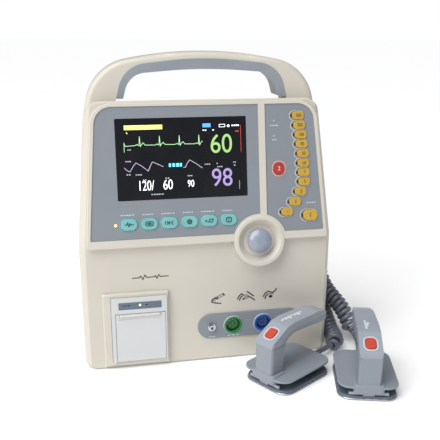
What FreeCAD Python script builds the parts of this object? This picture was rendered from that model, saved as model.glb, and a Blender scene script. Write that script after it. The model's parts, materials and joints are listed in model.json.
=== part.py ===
"""Portable defibrillator and patient monitor with two external paddles.

Millimetres. The origin is the centre of the unit's base on the surface that it stands on.
X runs to the right of someone facing the screen, Y away from them, and Z up.
"""

import FreeCAD, Part
import math
import os

V = FreeCAD.Vector

# --- The case -------------------------------------------------------------------------------
BASE_Z = 2.0  # the case stands on a rubber ring this thick
WAIST_Z = 161.6  # where the upright lower front ends and the leaning upper front starts
TOP_Z = 331.0
LOWER_FRONT_Y = -65.0
UPPER_TOP_FRONT_Y = -35.0
LOWER_REAR_Y = 75.0
UPPER_TOP_REAR_Y = 25.0
LOWER_HALF = 158.0
UPPER_HALF = 144.0
CORNER_IN, CORNER_BACK = 7.0, 17.0  # how far the soft front corner comes in, and how far back it ends
REAR_R = 18.0
WALL = 3.0
BASE_R = 7.0
TOP_R = 3.5
SHOULDER_R = 24.0  # the case's rounded upper corners, seen from the front
TOP_FALL = 8.0  # degrees that the top falls towards the back
HOLLOW_TOP_Z = 318.0
FOOT_SIZE, FOOT_MIDDLE_Y, FOOT_R, FOOT_BAND = (250.0, 104.0), 5.0, 18.0, 12.0
VENT_W, VENT_PITCH = 4.0, 9.0
VENT_ROWS = ((20.0, 60.0, 120.0, 10), (-120.0, 90.0, 120.0, 6))  # first x, lowest and highest z, count

# --- The carrying handle: the outline's right half as (x, z, radius), and the peak's (z, radius) --
HANDLE_HALF_DEPTH = 20.0
HANDLE_EDGE_R = 6.0
HANDLE_FOOT_Z = 300.0  # the handle's legs run down to here inside the case
OUTLINE = [(172.5, 0, 0), (146.2, 303, 120), (133.5, 370, 62)]
OUTLINE_PEAK = (393.5, 480)
GRIP_OUTER, GRIP_OUTER_PEAK = [(113.4, HANDLE_FOOT_Z, 0), (95.5, 370, 36)], (380.5, 400)
GRIP_INNER, GRIP_INNER_PEAK = [(105.8, HANDLE_FOOT_Z, 0), (89, 360.5, 26)], (367.5, 600)
GRIP_PROUD = 0.6

# --- The leaning control panel --------------------------------------------------------------
LEAN = 10.05  # degrees
PANEL_Y, PANEL_Z = -70.0, 170.6  # the foot of the grey panel, where s = 0
PROUD = 6.5  # the panel's face in front of the case
RIM = 1.0  # the cream rim stands this much prouder than the grey face
PANEL_HEIGHT = 157.0
PANEL_HALF, PANEL_TAPER = 144.3, 0.0777
BEZEL_HALF, BEZEL_TAPER = 148.9, 0.073
BEZEL_LOW, BEZEL_HIGH = -10.0, 161.2
BEZEL_BACK = -6.4
OVERLAY_T = 1.0
DIVIDER_LEFT, DIVIDER_RIGHT = 63.0, 71.2
PANEL_OPENING = (-125.0, 128.0, 12.0, 150.0)  # what is cut from the case behind the panel: x and s

# --- The screen: a 7 inch display -----------------------------------------------------------
SCREEN_W, SCREEN_H = 152.4, 91.44
SCREEN_X, SCREEN_S = -31.1, 94.8
WINDOW_MARGIN = 2.5
LCD_TRAY_MARGIN = 4.5
BOARD, BOARD_BACK, BOARD_T = (-118.0, 124.0, 13.0, 148.0), -17.0, 1.6
CHIPS, CHIP_T = ((-60, 60, 30, 30), (10, 100, 22, 22), (60, 40, 40, 14), (-10, 30, 18, 12)), 3.0

# --- Keys: places on the panel as (x, s), sizes across and up --------------------------------
SOFT_KEY = (20.0, 14.0)
SOFT_KEY_START, SOFT_KEY_PITCH, SOFT_KEY_S = -98.1, 24.2, 18.3
ENERGY_KEY = (15.0, 9.6)
ENERGY_KEY_PLACES = [
    (97.4, 24.1), (107.8, 36.3), (115.2, 48.9), (120.2, 60.8), (119.8, 72.3), (119.5, 83.7),
    (119.1, 95.5), (117.5, 107.3), (116.5, 118.7), (114.9, 130.3), (113.4, 142.2),
]
CHARGE_KEY, CHARGE_KEY_AT = (18.5, 13.6), (127.3, 18.8)
SHOCK_KEY, SHOCK_KEY_AT = (13.4, 15.2), (87.8, 78.0)
KEY_GAP = 0.4
KEY_BOTTOM, KEY_TOP = -4.0, 1.8
POWER_LED_AT = (-113.9, 17.9)
LED_R = 1.6
PRINTER_LED_X, PRINTER_LED_Z, PRINTER_LED_R = (-88.7, -80.9), 87.0, 1.2

# --- The rotary knob ------------------------------------------------------------------------
KNOB_X, KNOB_S = 61.5, -10.5
RING_R, DISH_R, DISH_FLOOR_R = 32.0, 27.0, 19.5
RING_BACK, RING_TOP = -24.0, 1.6
DISH_FLOOR = -5.0
KNOB_R = 14.9
KNOB_BASE, KNOB_WALL_TOP, KNOB_CROWN = -3.0, 3.5, 9.5
DENT_R, DENT_DEPTH = 5.5, 0.8
SHAFT_R, SHAFT_HOLE_R, SHAFT_LOW, SHAFT_HIGH = 3.0, 4.0, -30.0, 3.0
SHAFT_GAP = 0.03
SWITCH_R = 7.5

# --- The connector plate --------------------------------------------------------------------
PLATE_LEFT, PLATE_RIGHT, PLATE_MID_Z, PLATE_H = -16.0, 120.0, 47.5, 34.0
PLATE_T = 2.0
AIR_PORT_X, ECG_X, OXIMETER_X = 1.3, 29.7, 69.1
SOCKET_R, SOCKET_BORE_R, SOCKET_DEPTH, SOCKET_HOLE_R = 11.8, 9.2, 5.0, 10.6
COLLAR_T, BARREL_BACK = 1.6, -26.0
CONTACTS, CONTACT_R, CONTACT_RING_R, CONTACT_DEPTH = 8, 0.9, 5.2, 4.0
AIR_PORT_R, AIR_TIP_R, AIR_PORT_T = 5.0, 3.6, 6.0
AIR_BORE_R, AIR_BORE_DEPTH, AIR_HOLE_R = 2.0, 10.0, 4.3

# --- The printer ----------------------------------------------------------------------------
SURROUND = (-134.0, -52.5, 4.5, 101.5)
MODULE = (-124.0, -55.5, 10.0, 96.5)
SURROUND_T = 4.0
MODULE_FRONT_Y = -72.0
MODULE_BACK_Y = -10.0
MODULE_WALL, MODULE_FLOOR_Z, MODULE_GAP = 3.0, 15.0, 0.4
STRIP = (-115.0, -62.0, 81.5, 91.0)  # the recess of the dark strip
STRIP_DEPTH = 0.5
DOOR = (-118.6, -57.6, 10.75, 75.4)
DOOR_T, DOOR_GAP = 3.5, 0.5
THUMB_LOW_Z, THUMB_DEPTH = 68.0, 0.6  # the shallow band along the door's upper edge
HEAD_Z = 76.4  # the lower edge of the fixed head above the door
EAR_T, EAR_HALF = 2.0, 4.0
ROLLER_R, ROLLER_SHAFT_R, ROLLER_GAP = 4.2, 1.5, 0.05
ROLLER_Y, ROLLER_Z = -63.6, 69.6
ROLL_R, ROLL_CORE_R = 20.0, 6.0
ROLL_Y, ROLL_Z = -40.0, 38.0
STUB_GAP, STUB_LENGTH = 0.08, 9.0

# --- Inside and behind: boxes as x0, x1, y0, y1, z0, z1 -----------------------------------------
BATTERY, BATTERY_R = (-142.0, -52.0, -4.0, 50.0, 8.0, 76.0), 4.0
CAN_R, CAN_LENGTH, CAN_AT = 27.0, 92.0, (-20.0, 25.0, 40.0)
TERMINAL_R, TERMINAL_LENGTH, TERMINAL_OFFSET = 3.0, 8.0, 10.0
INLET = (-133.0, -87.0, 22.0, 48.0)  # x0, x1, z0, z1
INLET_FRONT_Y, INLET_FLANGE, INLET_RECESS, INLET_GAP = 56.0, 3.0, 6.0, 0.4
INLET_PINS = ((-110.0, 39.0), (-118.0, 33.0), (-102.0, 33.0))
OUTLET = (LOWER_HALF, LOWER_HALF + 23.0, 15.0, 59.0, 114.0, 142.0)
OUTLET_R = 5.0

# --- The paddles: a runs forward to the post, b across, and z up -------------------------------
PADDLES = {"left": (87.45, -121.58, -147.61), "right": (173.78, -154.72, -105.58)}
SHOE_A, SHOE_B, SHOE_R = 89.5, 69.8, 15.5
PLATE_Z, SHOE_Z = 2.2, 5.2
FLANGE_A, FLANGE_B, FLANGE_SHIFT = 92.5, 70.4, 1.0
FLANGE_LOW, FLANGE_HIGH = 16.6, 18.8
BOSS, BOSS_SHIFT = (60.0, 46.0, 8.0), -2.0
SKIRT, SKIRT_SHIFT, SKIRT_LOW = (22.6, 36.0, 5.0), 36.0, 10.4
POST_FRONT, POST_FOOT_Z = 45.0, 10.4
GRIP_HALF = 13.6
GROOVE_Z, GROOVE_W = 54.3, 0.6
BEVEL_FRONT, BEVEL_TOP = (42.9, 60.9), (17.4, 75.0)
BUTTON_SIZE, BUTTON_R, BUTTON_GAP, BUTTON_PROUD = (14.5, 12.3), 4.0, 0.4, 1.6
LATCH_HALF, LATCH_GAP, LATCH_T = 23.0, 4.5, 2.4
LATCH_A, LATCH_LOW, LATCH_HIGH = 40.8, 6.8, 9.9
PADDLE_GLAND_A, PADDLE_GLAND_LENGTH, PADDLE_GLAND_R = -53.5, 21.5, (3.6, 4.0)

# --- The curly cords ------------------------------------------------------------------------
COIL_R = 11.5
WIRE_R = 3.4
OUTLET_X, OUTLET_Y, OUTLET_Z = 173.5, (23.5, 50.5), 98.0
GLAND_R = (4.4, 6.5)
LEFT_COIL = [
    (173.5, 50.5, 98), (174.5, 49, 86), (175.5, 42, 72.5), (175.5, 29, 58), (175, 12, 43.5), (174.5, -6, 31),
    (174, -25, 20.4), (173.2, -43, 12.6), (172.3, -58.4, 12), (169.3, -71.9, 12),
]
LEFT_LEAD = [(169.3, -71.9, 12), (158.6, -79.6, 11.2), (145.8, -86.7, 10.2), (133.4, -92.4, 10)]
RIGHT_COIL = [
    (173.5, 23.5, 98), (174.5, 20, 87), (176.5, 11, 76.5), (177.5, -1, 68), (177.5, -12.5, 59.5),
    (179.5, -25, 51.5), (182.7, -34.5, 44.6), (186.5, -42.8, 36.8), (192.2, -49.3, 28.2),
    (196.8, -56.3, 17.6),
]
RIGHT_LEAD = [(196.8, -56.3, 17.6), (198.4, -71.3, 13.6), (195, -87.5, 11), (188.4, -102.3, 10)]

# --- Helpers --------------------------------------------------------------------------------


def outline(corners):
    """A closed wire through (x, y, radius) corners, each rounded by a tangent arc of its radius."""
    pieces, count = [], len(corners)
    for i in range(count):
        before, here, after = (V(*corners[(i + k) % count][:2], 0) for k in (-1, 0, 1))
        radius = corners[i][2]
        if radius == 0:
            pieces.append((here, here, here))
            continue
        back, on = (before - here).normalize(), (after - here).normalize()
        half = back.getAngle(on) / 2
        reach = radius / math.tan(half)
        middle = here + (back + on).normalize() * (radius / math.sin(half))
        top = middle + (here - middle).normalize() * radius
        pieces.append((here + back * reach, top, here + on * reach))
    edges = []
    for i, (start, top, end) in enumerate(pieces):
        if start.distanceToPoint(end) > 1e-6:
            edges.append(Part.Arc(start, top, end).toShape())
        following = pieces[(i + 1) % count][0]
        if end.distanceToPoint(following) > 1e-6:
            edges.append(Part.LineSegment(end, following).toShape())
    return Part.Wire(edges)


def prism(corners, low, high):
    """A solid of that outline between two heights."""
    face = Part.Face(outline(corners))
    face.translate(V(0, 0, low))
    return face.extrude(V(0, 0, high - low))


def block(x0, x1, y0, y1, z0, z1):
    return Part.makeBox(x1 - x0, y1 - y0, z1 - z0, V(x0, y0, z0))


def rectangle(cx, cy, across, up, radius):
    """The corners of a rounded rectangle."""
    a, b = across / 2, up / 2
    corners = ((cx - a, cy - b), (cx + a, cy - b), (cx + a, cy + b), (cx - a, cy + b))
    return [(*corner, radius) for corner in corners]


def oval(centre, size, grow=0.0):
    """The corners of a rounded key outline, grown by a gap all round."""
    across, up = size[0] + 2 * grow, size[1] + 2 * grow
    return rectangle(*centre, across, up, 0.46 * min(across, up))


def rod(centre, radius, low, high):
    return Part.makeCylinder(radius, high - low, V(centre[0], centre[1], low))


def softened(solid, size, chosen):
    """The solid with a fillet along the chosen edges."""
    return solid.makeFillet(size, [e for e in solid.Edges if chosen(e)])


def flat_at(height):
    """Chooses the edges that lie in the plane at that height."""
    return lambda e: abs(e.BoundBox.ZMin - height) < 1e-3 and abs(e.BoundBox.ZMax - height) < 1e-3


def on_panel(shape):
    """From panel coordinates (x, s, height above the face) to the unit's own."""
    turn = FreeCAD.Rotation(V(1, 0, 0), 90 - LEAN)
    shape.Placement = FreeCAD.Placement(V(0, PANEL_Y, PANEL_Z), turn).multiply(shape.Placement)
    return shape


def on_front(shape):
    """From front coordinates (x, z, height in front of the lower face) to the unit's own."""
    turn = FreeCAD.Rotation(V(1, 0, 0), 90)
    shape.Placement = FreeCAD.Placement(V(0, LOWER_FRONT_Y, 0), turn).multiply(shape.Placement)
    return shape


def on_paddle(shape, side):
    """From a paddle's (a, b, z) to where that paddle stands."""
    x, y, turn = PADDLES[side]
    place = FreeCAD.Placement(V(x, y, 0), FreeCAD.Rotation(V(0, 0, 1), turn))
    shape.Placement = place.multiply(shape.Placement)
    return shape


def save(name, shape):
    shape = shape.removeSplitter() if len(shape.Solids) == 1 else shape
    if not shape.isValid():
        raise RuntimeError(f"{name} isn't a valid solid")
    shape.exportStep(f"parts/{name}.step")
    print(f"{name}: {len(shape.Solids)} solid(s), {shape.Volume / 1000:.1f} cm3")


# --- The case -------------------------------------------------------------------------------


def plan(front, rear, half, z):
    """The case's horizontal section at one height."""
    edge = half - CORNER_IN
    side = front + CORNER_BACK
    corner = REAR_R * (1 - math.sqrt(0.5))
    bow_in, bow_back = CORNER_IN * 0.27, CORNER_BACK * 0.32

    def half_wire(sign):
        """One side, from the middle of the front to the middle of the back."""
        points = [V(0, front, z), V(edge, front, z), V(half, side, z), V(half, rear - REAR_R, z)]
        points += [V(half - REAR_R, rear, z), V(0, rear, z)]
        bows = [V(half - bow_in, front + bow_back, z), V(half - corner, rear - corner, z)]
        points, bows = ([V(sign * p.x, p.y, p.z) for p in row] for row in (points, bows))
        return [
            Part.LineSegment(points[0], points[1]).toShape(),
            Part.Arc(points[1], bows[0], points[2]).toShape(),
            Part.LineSegment(points[2], points[3]).toShape(),
            Part.Arc(points[3], bows[1], points[4]).toShape(),
            Part.LineSegment(points[4], points[5]).toShape(),
        ]

    return Part.Wire(Part.__sortEdges__(half_wire(1) + half_wire(-1)))


def case_block(inset, top_z):
    """The case's outer block, or its hollow when it is inset by the wall."""
    share = (top_z - WAIST_Z) / (TOP_Z - WAIST_Z)
    top_front = LOWER_FRONT_Y + share * (UPPER_TOP_FRONT_Y - LOWER_FRONT_Y)
    top_rear = LOWER_REAR_Y + share * (UPPER_TOP_REAR_Y - LOWER_REAR_Y)
    top_half = LOWER_HALF + share * (UPPER_HALF - LOWER_HALF)
    base = BASE_Z + inset
    low = plan(LOWER_FRONT_Y + inset, LOWER_REAR_Y - inset, LOWER_HALF - inset, base)
    waist = plan(LOWER_FRONT_Y + inset, LOWER_REAR_Y - inset, LOWER_HALF - inset, WAIST_Z)
    top = plan(top_front + inset, top_rear - inset, top_half - inset, top_z)
    lower = Part.Face(low).extrude(V(0, 0, WAIST_Z - base))

    def base_edges(e):
        return flat_at(base)(e) and e.BoundBox.YMax > LOWER_FRONT_Y + 0.01

    lower = lower if inset else softened(lower, BASE_R, base_edges)
    return lower.fuse(Part.makeLoft([waist, top], True, True)).removeSplitter()


def bow(right_half, peak, half_depth):
    """A bow across the top: its right half's (x, z, radius) corners, mirrored, and the (z, radius) peak."""
    left_half = [(-x, z, radius) for x, z, radius in reversed(right_half)]
    solid = prism([*right_half, (0, *peak), *left_half], -half_depth, half_depth)
    solid.Placement = FreeCAD.Placement(V(0, 0, 0), FreeCAD.Rotation(V(1, 0, 0), 90))
    return solid


def shoulders(inset, top_z):
    """What lies between the case's sides under its rounded upper corners, inset from the outside."""
    (foot, _, _), (waist, height, _) = OUTLINE[:2]
    side = foot + (waist - foot) * top_z / height
    right_half = [(foot - inset, 0, 0), (side - inset, top_z, SHOULDER_R - inset)]
    return bow(right_half, (top_z, 0), 200)


def falling_top():
    """What lies under the case's top, which is soft at the front and falls towards the back."""
    away, rear = 0.02, LOWER_REAR_Y + 20
    drop = (rear - UPPER_TOP_FRONT_Y) * math.tan(math.radians(TOP_FALL))
    front = LOWER_FRONT_Y - away
    corners = [
        (front - 40, -1, 0), (rear, -1, 0), (rear, TOP_Z - drop, 0),
        (UPPER_TOP_FRONT_Y - away, TOP_Z, TOP_R), (front, WAIST_Z, 0), (front - 40, WAIST_Z - 10, 0),
    ]
    solid = prism(corners, -200, 200)
    solid.Placement = FreeCAD.Placement(V(0, 0, 0), FreeCAD.Rotation(V(1, 1, 1), 120))
    return solid


def handle_outer():
    """The cream bow, whose legs run down into the case."""
    above_foot = block(-200, 200, -60, 60, HANDLE_FOOT_Z, 500)
    solid = bow(OUTLINE, OUTLINE_PEAK, HANDLE_HALF_DEPTH).common(above_foot)

    def rims(e):
        return e.BoundBox.YMax - e.BoundBox.YMin < 1e-3 and e.BoundBox.ZMax > HANDLE_FOOT_Z + 1

    return softened(solid, HANDLE_EDGE_R, rims).cut(bow(GRIP_OUTER, GRIP_OUTER_PEAK, 40))


def handle_grip():
    """The grey lining of the hand opening."""
    band = bow(GRIP_OUTER, GRIP_OUTER_PEAK, 40).cut(bow(GRIP_INNER, GRIP_INNER_PEAK, 40))
    depth = HANDLE_HALF_DEPTH + GRIP_PROUD
    return band.common(block(-120, 120, -depth, depth, TOP_Z + 0.8, 500))


def printer_surround():
    """The frame moulded round the printer, with its soft outer edge."""
    x0, x1, z0, z1 = SURROUND
    frame = prism(rectangle((x0 + x1) / 2, (z0 + z1) / 2, x1 - x0, z1 - z0, 2), -1, SURROUND_T)
    return on_front(softened(frame, 2.0, flat_at(SURROUND_T)))


def printer_bay():
    x0, x1, z0, z1 = MODULE
    gap = MODULE_GAP
    return block(x0 - gap, x1 + gap, LOWER_FRONT_Y - 20, LOWER_FRONT_Y + 10, z0 - gap, z1 + gap)


def case_openings():
    """What is cut through the case's walls."""
    x0, x1, z0, z1 = INLET
    cuts = [
        on_panel(block(*PANEL_OPENING, -14, 0)),
        on_panel(rod((KNOB_X, KNOB_S), SHAFT_HOLE_R + 5, -30, 0)),
        printer_bay(),
        on_front(rod((AIR_PORT_X, PLATE_MID_Z), AIR_HOLE_R, -8, 1)),
        block(x0 - INLET_GAP, x1 + INLET_GAP, 60, 80, z0 - INLET_GAP, z1 + INLET_GAP),
    ]
    cuts += [on_front(rod((x, PLATE_MID_Z), SOCKET_HOLE_R, -8, 1)) for x in (ECG_X, OXIMETER_X)]
    for first, low, high, count in VENT_ROWS:
        for i in range(count):
            x = first + VENT_PITCH * i
            cuts.append(block(x, x + VENT_W, 60, 80, low, high))
    return cuts


def case_halves():
    """The front and rear mouldings, which meet on the plane y = 0."""
    body = case_block(0, TOP_Z).common(bow(OUTLINE, OUTLINE_PEAK, 200)).common(falling_top())
    body = body.common(shoulders(0, TOP_Z + 0.02))
    hollow = case_block(WALL, HOLLOW_TOP_Z).common(shoulders(WALL, HOLLOW_TOP_Z))
    solid = body.fuse(handle_outer()).cut(hollow).fuse(printer_surround())
    for cut in case_openings():
        solid = solid.cut(cut)
    front = solid.common(block(-200, 200, -120, 0, 0, 400))
    rear = solid.common(block(-200, 200, 0, 120, 0, 400))
    return front, rear


def foot_ring():
    """The rubber ring that the case stands on."""
    across, deep = FOOT_SIZE
    outer = prism(rectangle(0, FOOT_MIDDLE_Y, across, deep, FOOT_R), 0, BASE_Z)
    inside = rectangle(0, FOOT_MIDDLE_Y, across - 2 * FOOT_BAND, deep - 2 * FOOT_BAND, FOOT_R / 2)
    return outer.cut(prism(inside, -1, BASE_Z + 1))


# --- The control panel ----------------------------------------------------------------------


def tapered(half, taper, low, high, top_r, foot_r):
    """An outline that narrows upwards, with rounded top corners."""
    bottom, top = half - taper * low, half - taper * high
    return [(-bottom, low, foot_r), (bottom, low, foot_r), (top, high, top_r), (-top, high, top_r)]


def pocket(side, low, high):
    """The grey face's recess on one side of the divider, clear of the knob's ring."""
    whole = prism(tapered(PANEL_HALF, PANEL_TAPER, 0, PANEL_HEIGHT, 21, 2), low, high)
    if side == "left":
        whole = whole.common(block(-160, DIVIDER_LEFT, -20, 180, low, high))
    else:
        whole = whole.common(block(DIVIDER_RIGHT, 160, -20, 180, low, high))
    return whole.cut(rod((KNOB_X, KNOB_S), RING_R + 1.8, low - 1, high + 1))


def key_places():
    """Every key's name, place and size."""
    keys = []
    for i in range(6):
        keys.append((f"soft_key_{i + 1}", (SOFT_KEY_START + SOFT_KEY_PITCH * i, SOFT_KEY_S), SOFT_KEY))
    keys += [(f"energy_key_{i + 1:02d}", at, ENERGY_KEY) for i, at in enumerate(ENERGY_KEY_PLACES)]
    return keys + [("charge_key", CHARGE_KEY_AT, CHARGE_KEY), ("shock_key", SHOCK_KEY_AT, SHOCK_KEY)]


def key_holes(low, high):
    holes = [prism(oval(at, size, KEY_GAP), low, high) for _, at, size in key_places()]
    return holes + [rod(POWER_LED_AT, LED_R, low, high)]


def window_outline(margin):
    across, up = SCREEN_W + 2 * margin, SCREEN_H + 2 * margin
    return rectangle(SCREEN_X, SCREEN_S, across, up, 1.5)


def panel_bezel():
    """The cream frame with the divider and the knob's ring and dish."""
    frame = prism(tapered(BEZEL_HALF, BEZEL_TAPER, BEZEL_LOW, BEZEL_HIGH, 26, 3), BEZEL_BACK, RIM)
    frame = softened(frame, 1.6, flat_at(RIM))
    for side in ("left", "right"):
        frame = frame.cut(pocket(side, -OVERLAY_T, RIM + 2))
    ring = softened(rod((KNOB_X, KNOB_S), RING_R, RING_BACK, RING_TOP), 1.8, flat_at(RING_TOP))
    frame = frame.fuse(ring)
    dish = Part.makeCone(DISH_FLOOR_R, DISH_R, RING_TOP - DISH_FLOOR, V(KNOB_X, KNOB_S, DISH_FLOOR))
    frame = frame.cut(dish)
    frame = frame.cut(rod((KNOB_X, KNOB_S), SHAFT_HOLE_R, -30, 0))
    frame = frame.cut(prism(window_outline(0.5), -PROUD - 1, 0))
    for hole in key_holes(-PROUD - 1, 0):
        frame = frame.cut(hole)
    behind_upper = block(-200, 200, BEZEL_LOW - 60, 200, -60, BEZEL_BACK)
    frame = on_panel(frame).cut(block(-200, 200, LOWER_FRONT_Y, 60, 0, WAIST_Z))
    return frame.cut(on_panel(behind_upper).common(block(-200, 200, -120, 60, WAIST_Z, 400)))


def panel_overlay():
    """The two grey printed faces, with holes for the keys and the window."""
    faces = []
    for side in ("left", "right"):
        face = pocket(side, -OVERLAY_T, 0)
        for hole in key_holes(-2, 1):
            face = face.cut(hole)
        faces.append(face.cut(prism(window_outline(WINDOW_MARGIN), -2, 1)))
    return on_panel(Part.makeCompound([s for f in faces for s in f.Solids]))


def display_window():
    return on_panel(prism(window_outline(WINDOW_MARGIN), -OVERLAY_T, 0.15))


def lcd_module():
    """The display's cell and the metal tray behind it."""
    tray_front, tray_back = -PROUD - 0.1, -PROUD - 4.5
    cell = prism(window_outline(0), tray_front - 0.2, -OVERLAY_T - 0.1)
    return on_panel(cell.fuse(prism(window_outline(LCD_TRAY_MARGIN), tray_back, tray_front)))


def main_board():
    """The keypad and processor board behind the panel."""
    board = block(*BOARD, BOARD_BACK, BOARD_BACK + BOARD_T)
    for x, s, across, up in CHIPS:
        board = board.fuse(block(x, x + across, s, s + up, BOARD_BACK - CHIP_T, BOARD_BACK + 0.1))
    return on_panel(board)


def key_cap(at, size):
    """A keycap that stands just above the face, with soft edges."""
    cap = prism(oval(at, size), KEY_BOTTOM, KEY_TOP)
    return on_panel(softened(cap, 0.8, flat_at(KEY_TOP)))


def status_leds():
    """The power lamp on the panel and two lamps on the printer's dark strip."""
    lamp = rod(POWER_LED_AT, LED_R, -3, 0.4)
    solids = [on_panel(softened(lamp, 0.35, flat_at(0.4)))]
    front = LOWER_FRONT_Y - MODULE_FRONT_Y
    for x in PRINTER_LED_X:
        solids.append(on_front(rod((x, PRINTER_LED_Z), PRINTER_LED_R, front, front + 0.4)))
    return Part.makeCompound(solids)


def encoder():
    """The push-and-turn switch's spindle."""
    spindle = rod((KNOB_X, KNOB_S), SHAFT_R, SHAFT_LOW, SHAFT_HIGH)
    return on_panel(spindle.fuse(rod((KNOB_X, KNOB_S), SWITCH_R, SHAFT_LOW - 2, SHAFT_LOW + 2)))


def knob():
    """A domed knob with a shallow round dent in its face."""
    wall_top, crown = KNOB_WALL_TOP, KNOB_CROWN
    body = rod((KNOB_X, KNOB_S), KNOB_R, KNOB_BASE, wall_top)
    cap_r = (KNOB_R**2 + (crown - wall_top) ** 2) / (2 * (crown - wall_top))
    dome = Part.makeSphere(cap_r, V(KNOB_X, KNOB_S, crown - cap_r))
    above = block(KNOB_X - 20, KNOB_X + 20, KNOB_S - 20, KNOB_S + 20, wall_top, crown + 1)
    body = body.fuse(dome.common(above))
    body = body.cut(rod((KNOB_X, KNOB_S), DENT_R, crown - DENT_DEPTH, crown + 2))
    return on_panel(body.cut(rod((KNOB_X, KNOB_S), SHAFT_R + SHAFT_GAP, KNOB_BASE - 1, SHAFT_HIGH + 0.1)))


# --- The connectors -------------------------------------------------------------------------


def connector_plate():
    """A grey rounded plate with a hole for each connector."""
    middle = (PLATE_LEFT + PLATE_RIGHT) / 2
    corners = rectangle(middle, PLATE_MID_Z, PLATE_RIGHT - PLATE_LEFT, PLATE_H, PLATE_H / 2 - 0.05)
    plate = softened(prism(corners, 0, PLATE_T), 0.6, flat_at(PLATE_T))
    for x, radius in ((AIR_PORT_X, AIR_HOLE_R), (ECG_X, SOCKET_HOLE_R), (OXIMETER_X, SOCKET_HOLE_R)):
        plate = plate.cut(rod((x, PLATE_MID_Z), radius, -1, PLATE_T + 1))
    return on_front(plate)


def socket(x):
    """A round multi-pole socket: a collar, a barrel and an insert with contact holes."""
    at = (x, PLATE_MID_Z)
    face = PLATE_T + COLLAR_T
    body = rod(at, SOCKET_R, PLATE_T, face).fuse(rod(at, SOCKET_HOLE_R - 0.1, BARREL_BACK, PLATE_T))
    body = softened(body, 0.7, flat_at(face))
    body = body.cut(rod(at, SOCKET_BORE_R, face - SOCKET_DEPTH, face + 1))
    ring = [math.tau * i / CONTACTS for i in range(CONTACTS)]
    places = [(x + CONTACT_RING_R * math.cos(t), PLATE_MID_Z + CONTACT_RING_R * math.sin(t)) for t in ring]
    for place in (at, *places):
        body = body.cut(rod(place, CONTACT_R, face - SOCKET_DEPTH - CONTACT_DEPTH, face))
    return on_front(body)


def air_port():
    """The metal hose fitting of the blood pressure cuff."""
    at = (AIR_PORT_X, PLATE_MID_Z)
    tip = PLATE_T + AIR_PORT_T
    body = rod(at, AIR_PORT_R, PLATE_T, PLATE_T + AIR_PORT_T / 2).fuse(rod(at, AIR_TIP_R, PLATE_T, tip))
    body = body.fuse(rod(at, AIR_HOLE_R - 0.1, -14, PLATE_T))
    return on_front(body.cut(rod(at, AIR_BORE_R, tip - AIR_BORE_DEPTH, tip + 1)))


# --- The printer ----------------------------------------------------------------------------


def printer_body():
    """The white module: a fixed head with its dark strip's recess, side strips and the paper bay."""
    x0, x1, z0, z1 = MODULE
    front, wall = MODULE_FRONT_Y, MODULE_WALL
    doorway = DOOR[0] - DOOR_GAP, DOOR[1] + DOOR_GAP
    body = block(x0, x1, front, MODULE_BACK_Y, z0, z1)
    body = body.cut(block(*doorway, front - 1, front + DOOR_T + MODULE_GAP, z0 - 1, HEAD_Z))
    body = body.cut(block(*doorway, front - 1, -50, MODULE_FLOOR_Z, HEAD_Z))
    back = MODULE_BACK_Y - wall
    body = body.cut(block(x0 + wall, x1 - wall / 2, front + wall, back, MODULE_FLOOR_Z, HEAD_Z))
    body = body.cut(block(*STRIP[:2], front - 1, front + STRIP_DEPTH, *STRIP[2:]))
    for x, way in ((x0 + 2, 1), (x1 - 1, -1)):
        stub = Part.makeCylinder(ROLL_CORE_R - STUB_GAP, STUB_LENGTH, V(x, ROLL_Y, ROLL_Z), V(way, 0, 0))
        body = body.fuse(stub)
    return body


def printer_door():
    """The paper door, hinged along its rounded lower edge, with two ears that carry the platen roller."""
    x0, x1, z0, z1 = DOOR
    front, half = MODULE_FRONT_Y, DOOR_T / 2
    door = block(x0, x1, front, front + DOOR_T, z0 + half, z1)
    door = door.fuse(Part.makeCylinder(half, x1 - x0, V(x0, front + half, z0 + half), V(1, 0, 0)))
    door = door.cut(block(x0 + 4, x1 - 4, front - 1, front + THUMB_DEPTH, THUMB_LOW_Z, z1 + 1))
    for x in (x0 + THUMB_DEPTH, x1 - THUMB_DEPTH - EAR_T):
        low, high = ROLLER_Z - EAR_HALF, ROLLER_Z + EAR_HALF
        door = door.fuse(block(x, x + EAR_T, front + 2, ROLLER_Y + 3.4, low, high))
    hole = Part.makeCylinder(ROLLER_SHAFT_R + ROLLER_GAP, x1 - x0, V(x0, ROLLER_Y, ROLLER_Z), V(1, 0, 0))
    return door.cut(hole)


def platen_roller():
    """The rubber roller on its steel shaft."""
    x0, x1 = DOOR[0] + 3.2, DOOR[1] - 3.2
    roller = Part.makeCylinder(ROLLER_R, x1 - x0, V(x0, ROLLER_Y, ROLLER_Z), V(1, 0, 0))
    shaft = Part.makeCylinder(ROLLER_SHAFT_R, x1 - x0 + 5, V(x0 - 2.5, ROLLER_Y, ROLLER_Z), V(1, 0, 0))
    return roller.fuse(shaft)


def paper_roll():
    """The roll of paper with its open core."""
    x0, x1 = MODULE[0] + 5.5, MODULE[1] - 4.5
    roll = Part.makeCylinder(ROLL_R, x1 - x0, V(x0, ROLL_Y, ROLL_Z), V(1, 0, 0))
    return roll.cut(Part.makeCylinder(ROLL_CORE_R, x1 - x0, V(x0, ROLL_Y, ROLL_Z), V(1, 0, 0)))


# --- Inside and behind ----------------------------------------------------------------------


def battery_pack():
    return softened(block(*BATTERY), BATTERY_R, lambda e: e.BoundBox.ZMax - e.BoundBox.ZMin > 60)


def hv_capacitor():
    """The large energy storage capacitor with its two terminals."""
    x, y, z = CAN_AT
    can = Part.makeCylinder(CAN_R, CAN_LENGTH, V(x, y, z), V(1, 0, 0))
    for side in (-1, 1):
        foot = V(x + CAN_LENGTH, y + side * TERMINAL_OFFSET, z)
        can = can.fuse(Part.makeCylinder(TERMINAL_R, TERMINAL_LENGTH, foot, V(1, 0, 0)))
    return can


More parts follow.
